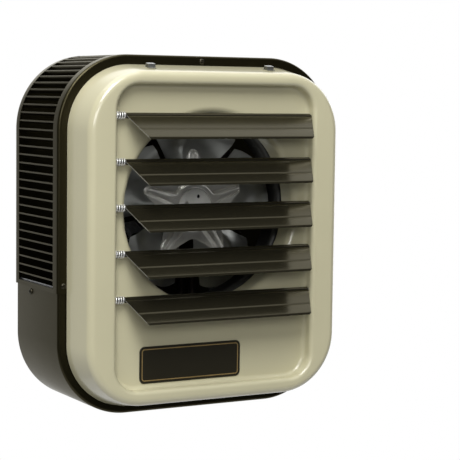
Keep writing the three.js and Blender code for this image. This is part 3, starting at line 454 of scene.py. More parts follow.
panel_corner = CORNER - PANEL_MARGIN
panel_path = rounded_path(WIDTH / 2 - PANEL_MARGIN, HEIGHT / 2 - PANEL_MARGIN, panel_corner, 20, 8)
panel_rear = PANEL_Y + SHEET
panel_rings = [ring_at(panel_path, panel_corner, inset, y) for inset, y in
               ((0.0, PANEL_Y), (0.0, panel_rear - 0.3), (0.3, panel_rear))]
dish = [(DISH_RADIUS + 1, 0.0), (DISH_RADIUS, 0.1), (DISH_RADIUS - 2.2, DISH_RISE - 0.1),
        (DISH_RADIUS - 3.4, DISH_RISE), (4.0, DISH_RISE)]
panel_rings += [circle_like(panel_path, r, panel_rear + rise) for r, rise in dish]
panel_rings += [circle_like(panel_path, r, PANEL_Y + rise) for r, rise in dish[::-1]]
panel = [looped(panel_rings)]
rivet = [(RIVET_RADIUS, 0.0), (RIVET_RADIUS - 0.4, 0.3), (2.4, 0.48), (0.4, 0.5)]
for angle in np.radians([45, 135, 225, 315]):
    centre = (RIVET_RING * math.cos(angle), panel_rear + DISH_RISE, OUTLET_Z + RIVET_RING * math.sin(angle))
    panel.append(turned(rivet, 20, centre))
fit("cabinet_rear_panel", panel, bronze, "bronze_enamel", "root", "rear_panel")

# ---- Divider shelf ----
# A galvanised shelf with turned-up flanges parts the hot side from the wiring space. The element ends,
# a bush for the leads and the controls are fixed to it. It keeps its own bent form.


def dress(material, *names):
    """Gives a finish to pieces whose own form is kept."""
    for name in names:
        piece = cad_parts[name]
        piece.data.materials.clear()
        piece.data.materials.append(material)


dress(galvanised, "divider_shelf", "motor_mount", "element_strap_left", "element_strap_right")

# ---- Heating elements ----
# Two sheathed elements, one behind the other, bend round the motor. Thin steel fins are wound on their
# hot length. The steel has turned brown with heat.
ELEMENT_RADIUS, SHEATH, FIN_RADIUS, FIN_THIN = 84.0, 4.0, 10.5, 0.45
ELEMENT_DEEP = (-4.0, 24.0)
TERMINAL_X, TERMINAL_Z = 22.0, -311.0
HOT_FROM, FIN_COUNT = 58.0, 84
SWEEP_FROM, SWEEP_TO = -66, 246
element_steel = bare_metal("element_steel", (0.06, 0.048, 0.04), 0.55, 0.03)


def unit(vectors):
    """Rows of vectors, each brought to length 1."""
    return vectors / np.linalg.norm(vectors, axis=1, keepdims=True)


def wire(path, across, radius, sides):
    """A round wire along a path: at each point a circle in the plane of the vector across and of its
    cross product with the path's heading."""
    heading = unit(np.gradient(path, axis=0))
    across = unit(across - np.sum(across * heading, axis=1, keepdims=True) * heading)
    up = np.cross(heading, across)
    a = np.linspace(0, 2 * math.pi, sides, endpoint=False)
    return path[:, None] + radius * (np.cos(a)[:, None] * across[:, None] + np.sin(a)[:, None] * up[:, None])


leg = np.array([(TERMINAL_X, TERMINAL_Z), (TERMINAL_X, TERMINAL_Z + 30), (TERMINAL_X, OUTLET_Z - 93),
                (TERMINAL_X + 4, OUTLET_Z - 84)])
sweep = arc((0, OUTLET_Z), ELEMENT_RADIUS, SWEEP_FROM, SWEEP_TO, 120)
sheath_line = at_depth(np.concatenate([leg, sweep, leg[::-1] * (-1, 1)]), 0.0)
sheath = wire(sheath_line, np.tile([0.0, 1.0, 0.0], (len(sheath_line), 1)), SHEATH, 16)
fin_rim = [(SHEATH, -FIN_THIN), (FIN_RADIUS, -FIN_THIN / 2), (FIN_RADIUS, FIN_THIN / 2), (SHEATH, FIN_THIN)]
disc = turned(fin_rim + fin_rim[:1], 20, (0, 0, 0), "x")
element = [sheath]
for angle in np.radians(np.linspace(HOT_FROM - 90, 270 - HOT_FROM, FIN_COUNT)):
    out, along = at_depth(around(angle + np.array([0, math.pi / 2])), 0.0)
    element.append(disc @ np.array([along, out, (0, 1, 0)]) + ELEMENT_RADIUS * out + (0, 0, OUTLET_Z))
for number, deep in enumerate(ELEMENT_DEEP, start=1):
    placed, node = [patch + (0, deep, 0) for patch in element], f"heating_element_{number}"
    fit(f"finned_element_{number}", placed, element_steel, "element_steel", "root", node)

# ---- Motor ----
# A small closed motor in a satin black drawn can, with cooling slots round its waist. It stands on a
# galvanised hat-shaped mounting, and its ground shaft carries the fan.
motor_black = enamel("motor_black", (0.012, 0.012, 0.013), 0.45, 0.03, 0.0)
bright_steel = bare_metal("bright_steel", (0.95, 0.94, 0.88), 0.2, 0.006, metal=0.6)
moulded_black = enamel("moulded_black", (0.012, 0.012, 0.013), 0.55, 0.08, 0.0)
dress(motor_black, "motor_body", "transformer")
dress(bright_steel, "motor_shaft", "thermal_cutout")
dress(moulded_black, "contactor", "terminal_block")

# ---- Fan ring ----
# A deck of steel behind the front pan is drawn into a smooth ring that runs close round the
# blade tips and flares at its rear. Its near-black tone is painted shade for the dark inside the outlet.
RING_RADIUS, DECK_Y, RING_REAR_Y, RING_FLARE = 106.0, -59.0, -28.0, 7.0
DECK_MARGIN, DECK_LOW_Z = 6.0, -288.0
deck_corner = CORNER - DECK_MARGIN
deck_path = rounded_path(WIDTH / 2 - DECK_MARGIN, HEIGHT / 2 - DECK_MARGIN, deck_corner, 24, 10)
mouth = arc((RING_RADIUS + 6, DECK_Y + 6), 6, 270, 180, 10)
tail = arc((RING_RADIUS + RING_FLARE, RING_REAR_Y - RING_FLARE + 1.2), RING_FLARE, 180, 90, 8)
face = np.concatenate([mouth, tail])
back = np.concatenate([tail[::-1] + (SHEET, 0), mouth[::-1] + (0.9, 1.0)])


def deck_ring(y):
    """The deck's outline, cut off straight above the wiring space."""
    ring = ring_at(deck_path, deck_corner, 0.0, y)
    ring[:, 2] = np.maximum(ring[:, 2], DECK_LOW_Z)
    return ring


deck_rows = [deck_ring(DECK_Y)] + [circle_like(deck_path, r, y) for r, y in face]
deck_rows += [circle_like(deck_path, r, y) for r, y in back] + [deck_ring(DECK_Y + SHEET)]
# Near-black tone: painted shade for the dark inside the outlet, not the steel's own colour.
shade_dark_ring_steel = bare_metal("shade_dark_ring_steel", (0.10, 0.10, 0.095), 0.42, 0.02, metal=0.8)
fit("fan_ring", [looped(deck_rows)], shade_dark_ring_steel, "galvanised_steel", "root", "fan_shroud")

# ---- Fan hub ----
# A plated hub with a flat front cap, drilled four times for a puller, and a sleeve that is clamped on
# the motor's shaft.
FAN_Y = -52.0
HUB_RADIUS, HUB_HOLE_RING, HUB_HOLE = 20.6, 12.2, 2.3
HUB_INNER, HUB_OUTER, HUB_CAP = 8.6, 15.8, 2.0
HUB_FLANGE, HUB_FLANGE_Y, HUB_FLANGE_INNER = 26.0, 3.1, 18.0
SLEEVE_BORE, SLEEVE_REAR = 4.3, 22.0
HUB_HOLE_ANGLES = (72, 162, 252, 342)
fan_centre = np.array([0.0, FAN_Y, OUTLET_Z])
hub_steel = bare_metal("hub_steel", (0.95, 0.95, 0.9), 0.42, 0.02, metal=0.1)


def sector_outline(start, end, inner, outer, steps):
    """A piece of a flat ring: out along one radius, round its outer arc, in again and back round."""
    radius, bearing = box_outline(inner, outer, start, end, steps).T
    return radius[:, None] * around(np.radians(bearing))


hub = []
for angle in HUB_HOLE_ANGLES:
    sector = sector_outline(angle - 45, angle + 45, HUB_INNER, HUB_OUTER, 12)
    hole = HUB_HOLE_RING * around(math.radians(angle))
    hub.append(holed_plate(sector, hole, HUB_HOLE, 0.0, HUB_CAP, 1) + fan_centre)
flange_rear = HUB_FLANGE_Y + HUB_CAP
rim = [(HUB_OUTER, 0), (HUB_RADIUS - 0.8, 0), (HUB_RADIUS - 0.25, 0.25), (HUB_RADIUS, 0.8),
       (HUB_RADIUS, HUB_FLANGE_Y), (HUB_FLANGE, HUB_FLANGE_Y), (HUB_FLANGE, flange_rear),
       (HUB_FLANGE_INNER, flange_rear), (HUB_FLANGE_INNER, HUB_CAP), (HUB_OUTER, HUB_CAP), (HUB_OUTER, 0)]
boss = [(0.4, 0.35), (1.6, 0.3), (2.0, 0.0), (HUB_INNER, 0.0), (HUB_INNER, SLEEVE_REAR),
        (SLEEVE_BORE, SLEEVE_REAR), (SLEEVE_BORE, HUB_CAP), (0.4, HUB_CAP)]
hub += [turned(rim, 128, fan_centre), turned(boss, 64, fan_centre)]
fit("fan_hub_cap", hub, hub_steel, "bright_steel", "fan_rotor", "fan_hub")

# ---- Fan spider ----
# A plated stamping with five arms. A round-shouldered pressing stands forward round the hub and along
# each arm, and the flange outside it is cut to an arch between one arm and the next.
ARMS = 5
EMBOSS_HUB, EMBOSS_TIP, EMBOSS_TIP_RADIUS = 28.5, 60.0, 4.2
EMBOSS_FILLET, EMBOSS_ROOT_HALF = 3.5, 6.5
FLANGE_TIP, FLANGE_TIP_RADIUS, ARCH_CENTRE, ARCH_RADIUS = 57.0, 7.6, 52.7, 14.0
HALF_ARM_STEPS = 40
SPIDER_FRONT, SPIDER_LEAN, LEAN_RUN, HUB_HEEL = 1.0, 0.6, 36.0, 24.0
TROUGH_DEEP, TROUGH_WIDE, TROUGH_FROM, TROUGH_FADE = 1.7, 4.2, 25.0, 10.0


def half_arm(tip, tip_radius, fillet_at, fillet_angle, fillet_radius, web_radius):
    """Half an arm of a star, from its tip to the middle between two arms: the tip's arc, the straight side
    that touches it and the fillet, the fillet's hollow arc, and any web arc that is left. The points are
    spaced evenly along the line."""
    tip_centre = np.array([tip, 0.0])
    fillet = fillet_at * around(math.radians(fillet_angle))
    gap = fillet - tip_centre
    length = np.linalg.norm(gap)
    lean = (tip_radius + fillet_radius) / length
    unit, side = gap / length, np.array([gap[1], -gap[0]]) / length
    touch = unit * lean + side * math.sqrt(1 - lean * lean)
    turn = math.degrees(math.atan2(touch[1], touch[0]))
    lines = [arc(tip_centre, tip_radius, 0, turn, 24)]
    lines.append(arc(fillet, fillet_radius, turn - 180, fillet_angle - 180, 24))
    if fillet_angle < 180 / ARMS:
        lines.append(arc((0, 0), web_radius, fillet_angle, 180 / ARMS, 12))
    line = np.concatenate(lines)
    run = np.concatenate([[0], np.cumsum(np.linalg.norm(np.diff(line, axis=0), axis=1))])
    even = np.linspace(0, run[-1], HALF_ARM_STEPS + 1)
    return joined(np.interp(even, run, line[:, 0]), np.interp(even, run, line[:, 1]))


def star(half):
    """The whole star from half an arm, mirrored and turned about the centre; the first arm points up."""
    whole = np.concatenate([half[:0:-1] * (1, -1), half[:-1]])
    turns = np.radians(90 + 360 / ARMS * np.arange(ARMS))[:, None]
    x = whole[:, 0] * np.cos(turns) - whole[:, 1] * np.sin(turns)
    z = whole[:, 0] * np.sin(turns) + whole[:, 1] * np.cos(turns)
    return joined(x.ravel(), z.ravel())


def grown(loop, distance):
    """A closed line moved outward by a distance along its own normals."""
    heading = unit(np.roll(loop, -1, axis=0) - np.roll(loop, 1, axis=0))
    return loop + distance * joined(heading[:, 1], -heading[:, 0])


fillet_at = EMBOSS_HUB + EMBOSS_FILLET
fillet_angle = math.degrees(math.asin((EMBOSS_ROOT_HALF + EMBOSS_FILLET) / fillet_at))
emboss = star(half_arm(EMBOSS_TIP, EMBOSS_TIP_RADIUS, fillet_at, fillet_angle, EMBOSS_FILLET, EMBOSS_HUB))
flange = star(half_arm(FLANGE_TIP, FLANGE_TIP_RADIUS, ARCH_CENTRE, 180 / ARMS, ARCH_RADIUS, 0))
emboss_bearing = np.arctan2(emboss[:, 1], emboss[:, 0])


def hub_ring(radius):
    """A circle whose points keep the bearings of the pressing's outline."""
    return radius * around(emboss_bearing)


# The pressing's edge as (outward, backward) steps: a raised bead, then a steep round shoulder.
SHOULDER = ((-3.1, 0.0), (-2.7, -0.1), (-2.3, -0.5), (-1.9, -0.8), (-1.5, -0.85), (-1.1, -0.6),
            (-0.8, -0.05), (-0.5, 0.8), (-0.3, 1.7), (-0.1, 2.5), (0.1, 3.3), (0.4, 4.1), (0.9, 4.8),
            (1.6, 5.15), (2.4, 5.2))
HEEL = ((20.9, 4.4), (21.0, 2.2), (21.5, 1.3), (22.4, SPIDER_FRONT), (HUB_HEEL, SPIDER_FRONT))


def between(near, far, shares, y):
    """Loops that pass evenly from one loop to another, each with the depth y."""
    return [((1 - share) * near + share * far, y) for share in shares]


inner_edge, outer_edge = grown(emboss, SHOULDER[0][0]), grown(emboss, SHOULDER[-1][0])
spider_rows = [(hub_ring(r), y) for r, y in HEEL]
spider_rows += between(hub_ring(HUB_HEEL), inner_edge, np.linspace(0.12, 0.88, 7), SPIDER_FRONT)
spider_rows += [(grown(emboss, d), SPIDER_FRONT + y) for d, y in SHOULDER]
spider_rows += between(outer_edge, flange, np.linspace(0.2, 1.0, 6), SPIDER_FRONT + SHOULDER[-1][1])


def spider_ring(loop, y):
    """One ring of the spider: the arms lean back a little as they leave the hub, and a shallow trough, a
    bell curve across the arm, runs down the middle of each."""
    distance = np.linalg.norm(loop, axis=1)
    lean = SPIDER_LEAN * np.clip((distance - EMBOSS_HUB) / LEAN_RUN, 0, 1)
    bearing = np.arctan2(loop[:, 0], loop[:, 1])
    apart = bearing - 2 * math.pi / ARMS * np.round(bearing * ARMS / (2 * math.pi))
    start = np.clip((distance - TROUGH_FROM) / TROUGH_FADE, 0, 1)
    bell = np.exp(-(distance * np.sin(apart) / TROUGH_WIDE) ** 2)
    trough = TROUGH_DEEP * start * start * (3 - 2 * start) * bell
    return at_depth(loop, y + lean + trough) + fan_centre


spider = [spider_ring(loop, y) for loop, y in spider_rows]
spider += [spider_ring(loop, y + SHEET) for loop, y in spider_rows[::-1]]
fit("fan_spider_stamping", [looped(spider)], bright_steel, "bright_steel", "fan_rotor", "fan_spider")

# ---- Fan blades ----
# Five pressed aluminium blades, riveted behind the arms. Each is pitched and cambered, and its outer
# corners are rounded.
BLADE_ROOT, BLADE_TIP, BLADE_SHEET = 34.0, 102.0, 1.1
BLADE_SEAT, BLADE_BACK, BLADE_FORWARD = 8.9, 15.0, 12.0
BLADE_SPAN_REAR, BLADE_SPAN_FRONT, BLADE_WIDENS = 25.5, 33.0, 2.0
BLADE_FREE_FROM, BLADE_FREE_RUN, BLADE_SEAT_SHARE, BLADE_ROUNDING = 60.0, 28.0, 0.45, 0.1
BLADE_ROWS, BLADE_COLUMNS = 40, 48
blade_metal = bare_metal("blade_aluminium", (0.37, 0.38, 0.36), 0.38, 0.03, metal=0.92)


def blade_surface(arm):
    """A blade over (u, v), u from root to tip and v from side to side: radii fanned over an angle that
    widens outward, with the outer corners drawn in by u^6 |v|^3. The depth is flat at the arm and slopes
    away on both sides of it. The grid runs over the front face and back over the rear one."""
    u = np.linspace(0, 1, BLADE_ROWS)[:, None]
    v = np.linspace(-1, 1, BLADE_COLUMNS)[None, :]
    radius = BLADE_ROOT + (BLADE_TIP - BLADE_ROOT) * u
    half_span = np.radians(np.where(v > 0, BLADE_SPAN_REAR + BLADE_WIDENS * u, BLADE_SPAN_FRONT))
    rounding = 1 - BLADE_ROUNDING * u**6 * np.abs(v) ** 3
    angle = math.radians(90 + 360 / ARMS * arm) + half_span * v
    free = np.clip((radius - BLADE_FREE_FROM) / BLADE_FREE_RUN, 0, 1)
    free = free * free * (3 - 2 * free)
    seat = BLADE_SEAT_SHARE * (1 - free)
    wing = np.clip(np.abs(v) - seat, 0, None) / (1 - seat)
    wing = wing * wing * (1.7 - 0.7 * wing)
    deep = BLADE_SEAT + np.where(v > 0, BLADE_BACK * wing, -BLADE_FORWARD * wing * free)
    x, z = radius * rounding * np.cos(angle), radius * rounding * np.sin(angle)
    front = joined(x, deep, z)
    rear = front + (0, BLADE_SHEET, 0)
    return np.concatenate([front, rear[:, ::-1]], axis=1) + fan_centre


for arm in range(ARMS):
    name, node = f"fan_pressed_blade_{arm + 1}", f"fan_blade_{arm + 1}"
    fit(name, [blade_surface(arm)], blade_metal, "fan_aluminium", "fan_rotor", node, crease=50)

# ---- Front pan ----
# One deep drawing in steel: a tapered wall with a broad round nose, a recessed middle with small radii,
# and a round outlet whose edge is turned back into a collar. It is baked in glossy almond enamel.
PAN_HALF_WIDTH, PAN_HALF_HEIGHT, PAN_CORNER, PAN_LOW, PAN_GAP = 166.7, 193.1, 75.0, 1.0, 0.6
PAN_FORWARD, PAN_DRAFT, PAN_NOSE = 45.0, 10.0, 9.2
RECESS_HALF_WIDTH, RECESS_HALF_HEIGHT, RECESS_CORNER = 126.0, 170.2, 28.0
RECESS_DEEP, RECESS_BEND = 15.0, 5.0
OUTLET_RADIUS, OUTLET_BEND, COLLAR_DEEP = 109.0, 8.0, 26.0
almond = enamel("almond_enamel", (0.60, 0.565, 0.38), 0.24, 0.03, 0.7)

pan_path = rounded_path(PAN_HALF_WIDTH, PAN_HALF_HEIGHT, PAN_CORNER, 28, 10)
pan_path[0][:, 1] -= PAN_LOW
recess_path = rounded_path(RECESS_HALF_WIDTH, RECESS_HALF_HEIGHT, RECESS_CORNER, 28, 10)
pan_base = front_y - PAN_GAP
pan_front = front_y - PAN_FORWARD
pan_floor = pan_front + RECESS_DEEP
draft = math.radians(PAN_DRAFT)
wall_run = pan_base - (pan_front + PAN_NOSE) + PAN_NOSE * math.sin(draft)
nose_q = PAN_NOSE * math.cos(draft) + math.tan(draft) * wall_run


def bend(centre, radius, start, end, steps):
    """A round bend of the sheet in (inward, y): each point with the sheet's heading there, in degrees,
    which runs evenly from start to end."""
    heading = np.linspace(start, end, steps + 1)
    across = np.radians(heading - 90 * np.sign(end - start))
    return np.column_stack([centre + radius * around(across), heading])


def set_back(stations, thickness):
    """Stations (inward, y, heading) moved back from the face by a thickness, square to the sheet."""
    turn = np.radians(stations[:, 2])
    return stations[:, :2] + thickness * joined(-np.sin(turn), np.cos(turn))


wall = np.array([(0.0, pan_base, PAN_DRAFT - 90)])
nose = bend((nose_q, pan_front + PAN_NOSE), PAN_NOSE, PAN_DRAFT - 90, 0, 14)
lip_turn = bend((-RECESS_BEND, pan_front + RECESS_BEND), RECESS_BEND, 0, 90, 10)
floor_turn = bend((RECESS_BEND, pan_floor - RECESS_BEND), RECESS_BEND, 90, 0, 10)
collar_turn = bend((-OUTLET_BEND, pan_floor + OUTLET_BEND), OUTLET_BEND, 0, 90, 14)
collar_end = np.array([(1.0, pan_floor + COLLAR_DEEP, 90.0)])


def pan_side(thickness):
    """Every ring of one side of the pan's sheet, from its rim to the collar's end. The collar's inward
    distances are counted from the outlet's radius."""
    outside = set_back(np.concatenate([wall, nose]), thickness)
    recess = set_back(np.concatenate([lip_turn, floor_turn]), thickness)
    collar = set_back(np.concatenate([collar_turn, collar_end]), thickness)
    return ([ring_at(pan_path, PAN_CORNER, q, y) for q, y in outside]
            + [ring_at(recess_path, RECESS_CORNER, q, y) for q, y in recess]
            + [circle_like(recess_path, OUTLET_RADIUS - q, y) for q, y in collar])


pan_skin = looped(pan_side(0.0) + pan_side(SHEET)[::-1])
fit("almond_front_pan", [pan_skin], almond, "almond_enamel", "root", "front_pan", crease=60)

# ---- Nameplate ----
# A thin embossed plate stuck in the recess under the louvres: a dark brown field inside a fine gold line
# and a black edge. Its field is left bare.
PLATE_X, PLATE_Z = -26.5, -347.0
PLATE_WIDTH, PLATE_HEIGHT, PLATE_CORNER, PLATE_THIN, PLATE_GAP = 129.5, 42.0, 6.2, 0.7, 0.3
GOLD_INSET, GOLD_WIDE, GOLD_PROUD = 2.7, 1.2, 0.12
plate_brown = enamel("plate_brown", (0.018, 0.0155, 0.008), 0.38, 0.03, 0.15)
plate_gold = bare_metal("plate_gold", (0.36, 0.25, 0.10), 0.4, 0.01, metal=0.3)
plate_path = rounded_path(PLATE_WIDTH / 2, PLATE_HEIGHT / 2, PLATE_CORNER, 10, 6)


def plate_ring(inset, y):
    """A rounded rectangle at an inset from the nameplate's edge, at depth y."""
    return ring_at(plate_path, PLATE_CORNER, inset, y) + (PLATE_X, 0.0, PLATE_Z - MIDDLE_Z)


plate_rear = pan_floor - PLATE_GAP
plate_face = plate_rear - PLATE_THIN
plate = [plate_ring(0.0, plate_rear), plate_ring(0.0, plate_face + 0.25), plate_ring(0.3, plate_face)]
fit("nameplate_field", [np.array(plate)], plate_brown, "plate_brown", "root", "nameplate")
gold_section = [(0.0, 0.05), (0.12, -GOLD_PROUD), (GOLD_WIDE - 0.12, -GOLD_PROUD), (GOLD_WIDE, 0.05)]
gold = [plate_ring(GOLD_INSET + across, plate_face + deep) for across, deep in gold_section]
fit("nameplate_gold_line", [looped(gold)], plate_gold, "plate_brown", "root")

# ---- Pan clips ----
# Two sprung zinc-plated clips bridge the joint between the pan's top wall and the cabinet. They keep
# their own form, and only their finish is set.
zinc = bare_metal("zinc_plate", (0.66, 0.67, 0.66), 0.3, 0.015)
dress(zinc, "panel_clip_left", "panel_clip_right")

# ---- Outlet louvres ----
# Five roll-formed blades in glossy bronze enamel. A curled hem turns on a plated pin that spans the
# recess, and a chrome spring at the left end holds the blade where it is tilted.
LOUVRES = 5
LOUVRE_PITCH, LOUVRE_MIDDLE_Z, LOUVRE_Y, LOUVRE_TILT = 50.8, -169.3, -99.0, 50.6
LOUVRE_LEFT, LOUVRE_RIGHT, LOUVRE_CHORD, LOUVRE_SHEET = -113.6, 124.0, 40.4, 0.8
HEM_RADIUS, CUT_LEFT, CUT_RIGHT, CUT_FROM, CORNER_ROUND = 2.9, 13.4, 13.8, 4.4, 1.8
FLAT_FROM, RIB_TOP, RIB_CREST, RIB_FOOT, RIB_BEND = -5.2, 0.565, 0.615, 0.635, 0.5
PIN_RADIUS, PIN_HEAD, PIN_HEAD_THICK, PIN_END_GAP = 2.0, 3.4, 2.0, 0.3
SPRING_RADIUS, SPRING_WIRE, SPRING_TURNS, SPRING_GAP = 3.8, 0.72, 3.6, 0.3
louvre_gloss = enamel("bronze_gloss", (0.09, 0.081, 0.05), 0.2, 0.02, 0.2, metal=0.84)
chrome = bare_metal("chrome_plate", (0.9, 0.9, 0.88), 0.2, 0.004, metal=0.6)


def softened(corners, radius, steps):
    """A bent line with its inner corners rounded: each becomes a short curve that starts and ends at the
    given distance from the corner."""
    corners = np.asarray(corners, float)
    t = np.linspace(0, 1, steps + 1)[:, None]
    runs = [corners[:1]]
    for before, here, after in zip(corners[:-2], corners[1:-1], corners[2:]):
        toward, away = before - here, after - here
        enter = here + toward * min(radius / np.linalg.norm(toward), 0.5)
        leave = here + away * min(radius / np.linalg.norm(away), 0.5)
        runs.append((1 - t) ** 2 * enter + 2 * t * (1 - t) * here + t**2 * leave)
    return np.concatenate(runs + [corners[-1:]])


def louvre_line():
    """Centre line (y, z) of a blade that hangs from its hem: the curl, the flat, the rib two thirds of the
    way down and the lower part with its returned edge."""
    curl = arc((0, 0), HEM_RADIUS, -75, 232, 30)
    flat_y = -HEM_RADIUS + 0.5
    low_y = flat_y - 0.15
    low = [curl[-1], (flat_y, FLAT_FROM), (flat_y, -RIB_TOP * LOUVRE_CHORD),
           (flat_y + 0.65, -RIB_CREST * LOUVRE_CHORD), (low_y, -RIB_FOOT * LOUVRE_CHORD),
           (low_y, -LOUVRE_CHORD + 1.9), (flat_y + 1.4, -LOUVRE_CHORD)]
    return np.concatenate([curl[:-1], softened(low, RIB_BEND, 6)])


def ribbon(line, thickness, left, right):
    """A bent strip of sheet: four corners at each point of its centre line, half a thickness to either
    side, between a left and a right end that may change along the line."""
    heading = unit(np.gradient(line, axis=0))
    across = joined(-heading[:, 1], heading[:, 0]) * thickness / 2
    ends = [(left, line + across), (right, line + across), (right, line - across), (left, line - across)]
    return np.stack([np.concatenate([x[:, None], flat], axis=1) for x, flat in ends], axis=1)


def tilted(points, degrees, centre):
    """Points turned about the X axis through the origin, then moved to a centre."""
    a = math.radians(degrees)
    x, y, z = points[..., 0], points[..., 1], points[..., 2]
    return joined(x, y * math.cos(a) - z * math.sin(a), y * math.sin(a) + z * math.cos(a)) + centre


blade_line = louvre_line()
down = np.clip(-blade_line[:, 1] - CUT_FROM, 0, None) / (LOUVRE_CHORD - CUT_FROM)
to_edge = np.clip(LOUVRE_CHORD + blade_line[:, 1], 0, CORNER_ROUND)
rounded_off = np.where(down > 0, CORNER_ROUND - np.sqrt(CORNER_ROUND**2 - (CORNER_ROUND - to_edge) ** 2), 0)
left_end = LOUVRE_LEFT + CUT_LEFT * down + rounded_off
right_end = LOUVRE_RIGHT - CUT_RIGHT * down - rounded_off
blade_strip = ribbon(blade_line, LOUVRE_SHEET, left_end, right_end)

pin_reach = RECESS_HALF_WIDTH + SHEET + PIN_END_GAP
pin_end = [(PIN_RADIUS, 0), (PIN_HEAD - 0.3, 0), (PIN_HEAD, 0.3), (PIN_HEAD, 1.2),
           (PIN_HEAD - 0.8, PIN_HEAD_THICK), (0.4, PIN_HEAD_THICK)]
left_pin_end = [(r, -pin_reach - out) for r, out in pin_end[::-1]]
pin = turned(left_pin_end + [(r, pin_reach + out) for r, out in pin_end], 28, (0, 0, 0), "x")


def spring_coil():
    """A round wire wound as a helix about the pin: x runs evenly along it while the wire goes round."""
    start, end = SPRING_GAP + SPRING_WIRE - RECESS_HALF_WIDTH, LOUVRE_LEFT - SPRING_GAP - SPRING_WIRE
    t = np.linspace(0, 1, int(SPRING_TURNS * 40))
    a = 2 * math.pi * SPRING_TURNS * t
    out = joined(0 * a, -np.sin(a), -np.cos(a))
    path = SPRING_RADIUS * out + joined(start + (end - start) * t, 0 * a, 0 * a)
    return wire(path, out, SPRING_WIRE, 12)


light_end_steel = bare_metal("pale_end_finish", (0.5, 0.49, 0.44), 0.5, 0.01, metal=0.5)
# The pin gets a near-black steel tone, which shows dark between the spring's turns.
pin_steel = bare_metal("pin_steel", (0.10, 0.10, 0.09), 0.4, 0.01)
louvre_parts = (
    ("blade", blade_strip, louvre_gloss, "bronze_gloss"),
    ("pin", pin, pin_steel, "bright_steel"),
    ("spring", spring_coil(), chrome, "bright_steel"),
)
# Of each four faces of the strip, the second and the fourth are its cut ends, which get a light grey steel
# finish that shows as a pale line along them.
cut_faces = np.append(np.tile([0, 1, 0, 1], len(blade_line) - 1), [0, 0])
for number in range(1, LOUVRES + 1):
    axis_place = (0.0, LOUVRE_Y, LOUVRE_MIDDLE_Z + LOUVRE_PITCH * ((LOUVRES + 1) / 2 - number))
    for part, patch, material, slot in louvre_parts:
        placed = tilted(patch, -LOUVRE_TILT, axis_place)
        body, node = f"louvre_{number}", f"louvre_{number}_{part}"
        piece = fit(f"outlet_{node}", [placed], material, slot, body, node, crease=40)
        if part == "blade":
            piece.data.materials.append(light_end_steel)
            piece.data.polygons.foreach_set("material_index", cut_faces)

# ---- Cabinet screws ----
# Small cross-headed screws hold the wrapper's front lip and the lower cover. Their heads are painted
# with the cabinet.
SCREW_RADIUS, SCREW_RISE, SCREW_SUNK, SCREW_STEPS = 3.6, 2.2, 0.1, 64
CROSS_HALF, CROSS_REACH, CROSS_DEEP = 0.62, 2.1, 1.2
BAND_TOP_Z, BAND_X, BAND_SIDE_Z = -6.5, 170.4, -257.0
COVER_SCREW_Y, COVER_SCREW_Z = 17.0, -271.5
screw_paint = enamel("screw_enamel", (0.034, 0.03, 0.018), 0.36, 0.02, 0.1, metal=0.85)


def screw_head():
    """A pan head as points (across, up, rise): a dome that falls away to its rim, less a cross-shaped
    recess with sloping walls."""
    r = np.linspace(0.05, SCREW_RADIUS, 22)[:, None]
    a = np.linspace(0, 2 * math.pi, SCREW_STEPS, endpoint=False)[None, :]
    u, v = r * np.cos(a), r * np.sin(a)
    dome = SCREW_RISE * np.sqrt(np.clip(1 - (r / SCREW_RADIUS) ** 3.2, 0, 1)) + 0 * a
    arm = np.minimum(np.abs(u), np.abs(v))
    reach = np.maximum(np.abs(u), np.abs(v))
    inside = np.clip((CROSS_HALF - arm) / 0.2, 0, 1) * np.clip((CROSS_REACH - reach) / 0.4, 0, 1)
    top = joined(u, v, dome - CROSS_DEEP * inside * (1 - reach / 3))
    foot = joined(u[-1], v[-1], 0 * u[-1] - 0.2)[None]
    return np.concatenate([top, foot])


across, up, rise = np.moveaxis(screw_head(), -1, 0)
front_head = joined(across, -rise, up)
band_y = front_y - SCREW_SUNK
screw_places = [("band_screw_top", front_head, (0, band_y, BAND_TOP_Z))]
for name, side in SIDES:
    screw_places.append((f"band_screw_{name}", front_head, (side * BAND_X, band_y, BAND_SIDE_Z)))
for name, side in SIDES:
    cover_place = (side * (WIDTH / 2 - COVER_INSET), COVER_SCREW_Y, COVER_SCREW_Z)
    screw_places.append((f"cover_screw_{name}", joined(side * rise, across, up), cover_place))
for node, shape, place in screw_places:
    fit(f"{node}_head", [shape + place], screw_paint, "bronze_enamel", "root", node)

# ---- Studio ----
# The heater hangs over a plain pale floor, which shows white to the camera. A dim panel overhead, a steep
# softbox to the front left and a low strip light it. In reflections the room is dark in front, paler
# behind, beneath and overhead, and brightest at the back right. Its fill light rises to the left.
FLOOR_DROP, FLOOR_RADIUS, FLOOR_MIRRORED = 2.6, 3.0, 0.75
FRONT_LEVEL, REAR_LEVEL, OVERHEAD_LEVEL, BENEATH_LEVEL, BACKDROP_LEVEL = 0.04, 0.44, 0.9, 0.54, 1.4
FILL_LEVELS, BACKDROP_FILL = (0.1, 0.3), 0.8
floor_rim = arc((0, 0), FLOOR_RADIUS, 0, 360, 96)[:-1]
floor_mesh = bpy.data.meshes.new("studio_floor")
floor_mesh.from_pydata([(x, y, -FLOOR_DROP) for x, y in floor_rim], [], [tuple(range(len(floor_rim)))])
floor = in_scene("studio_floor", floor_mesh)
floor_values = {"Base Color": (0.7, 0.7, 0.7, 1), "Roughness": 0.9}
floor_paint, floor_tree = new_finish("studio_floor_paint", floor_values)[:2]
floor_shader = floor_tree.nodes["Principled BSDF"]
camera_ray = added(floor_tree, "LightPath", "Is Camera Ray", {})
glossy_ray = added(floor_tree, "LightPath", "Is Glossy Ray", {})
floor_level = added(floor_tree, "MapRange", "Result", {"Value": camera_ray, "To Min": FLOOR_MIRRORED})
floor_glow = added(floor_tree, "Emission", "Emission", {"Strength": floor_level})
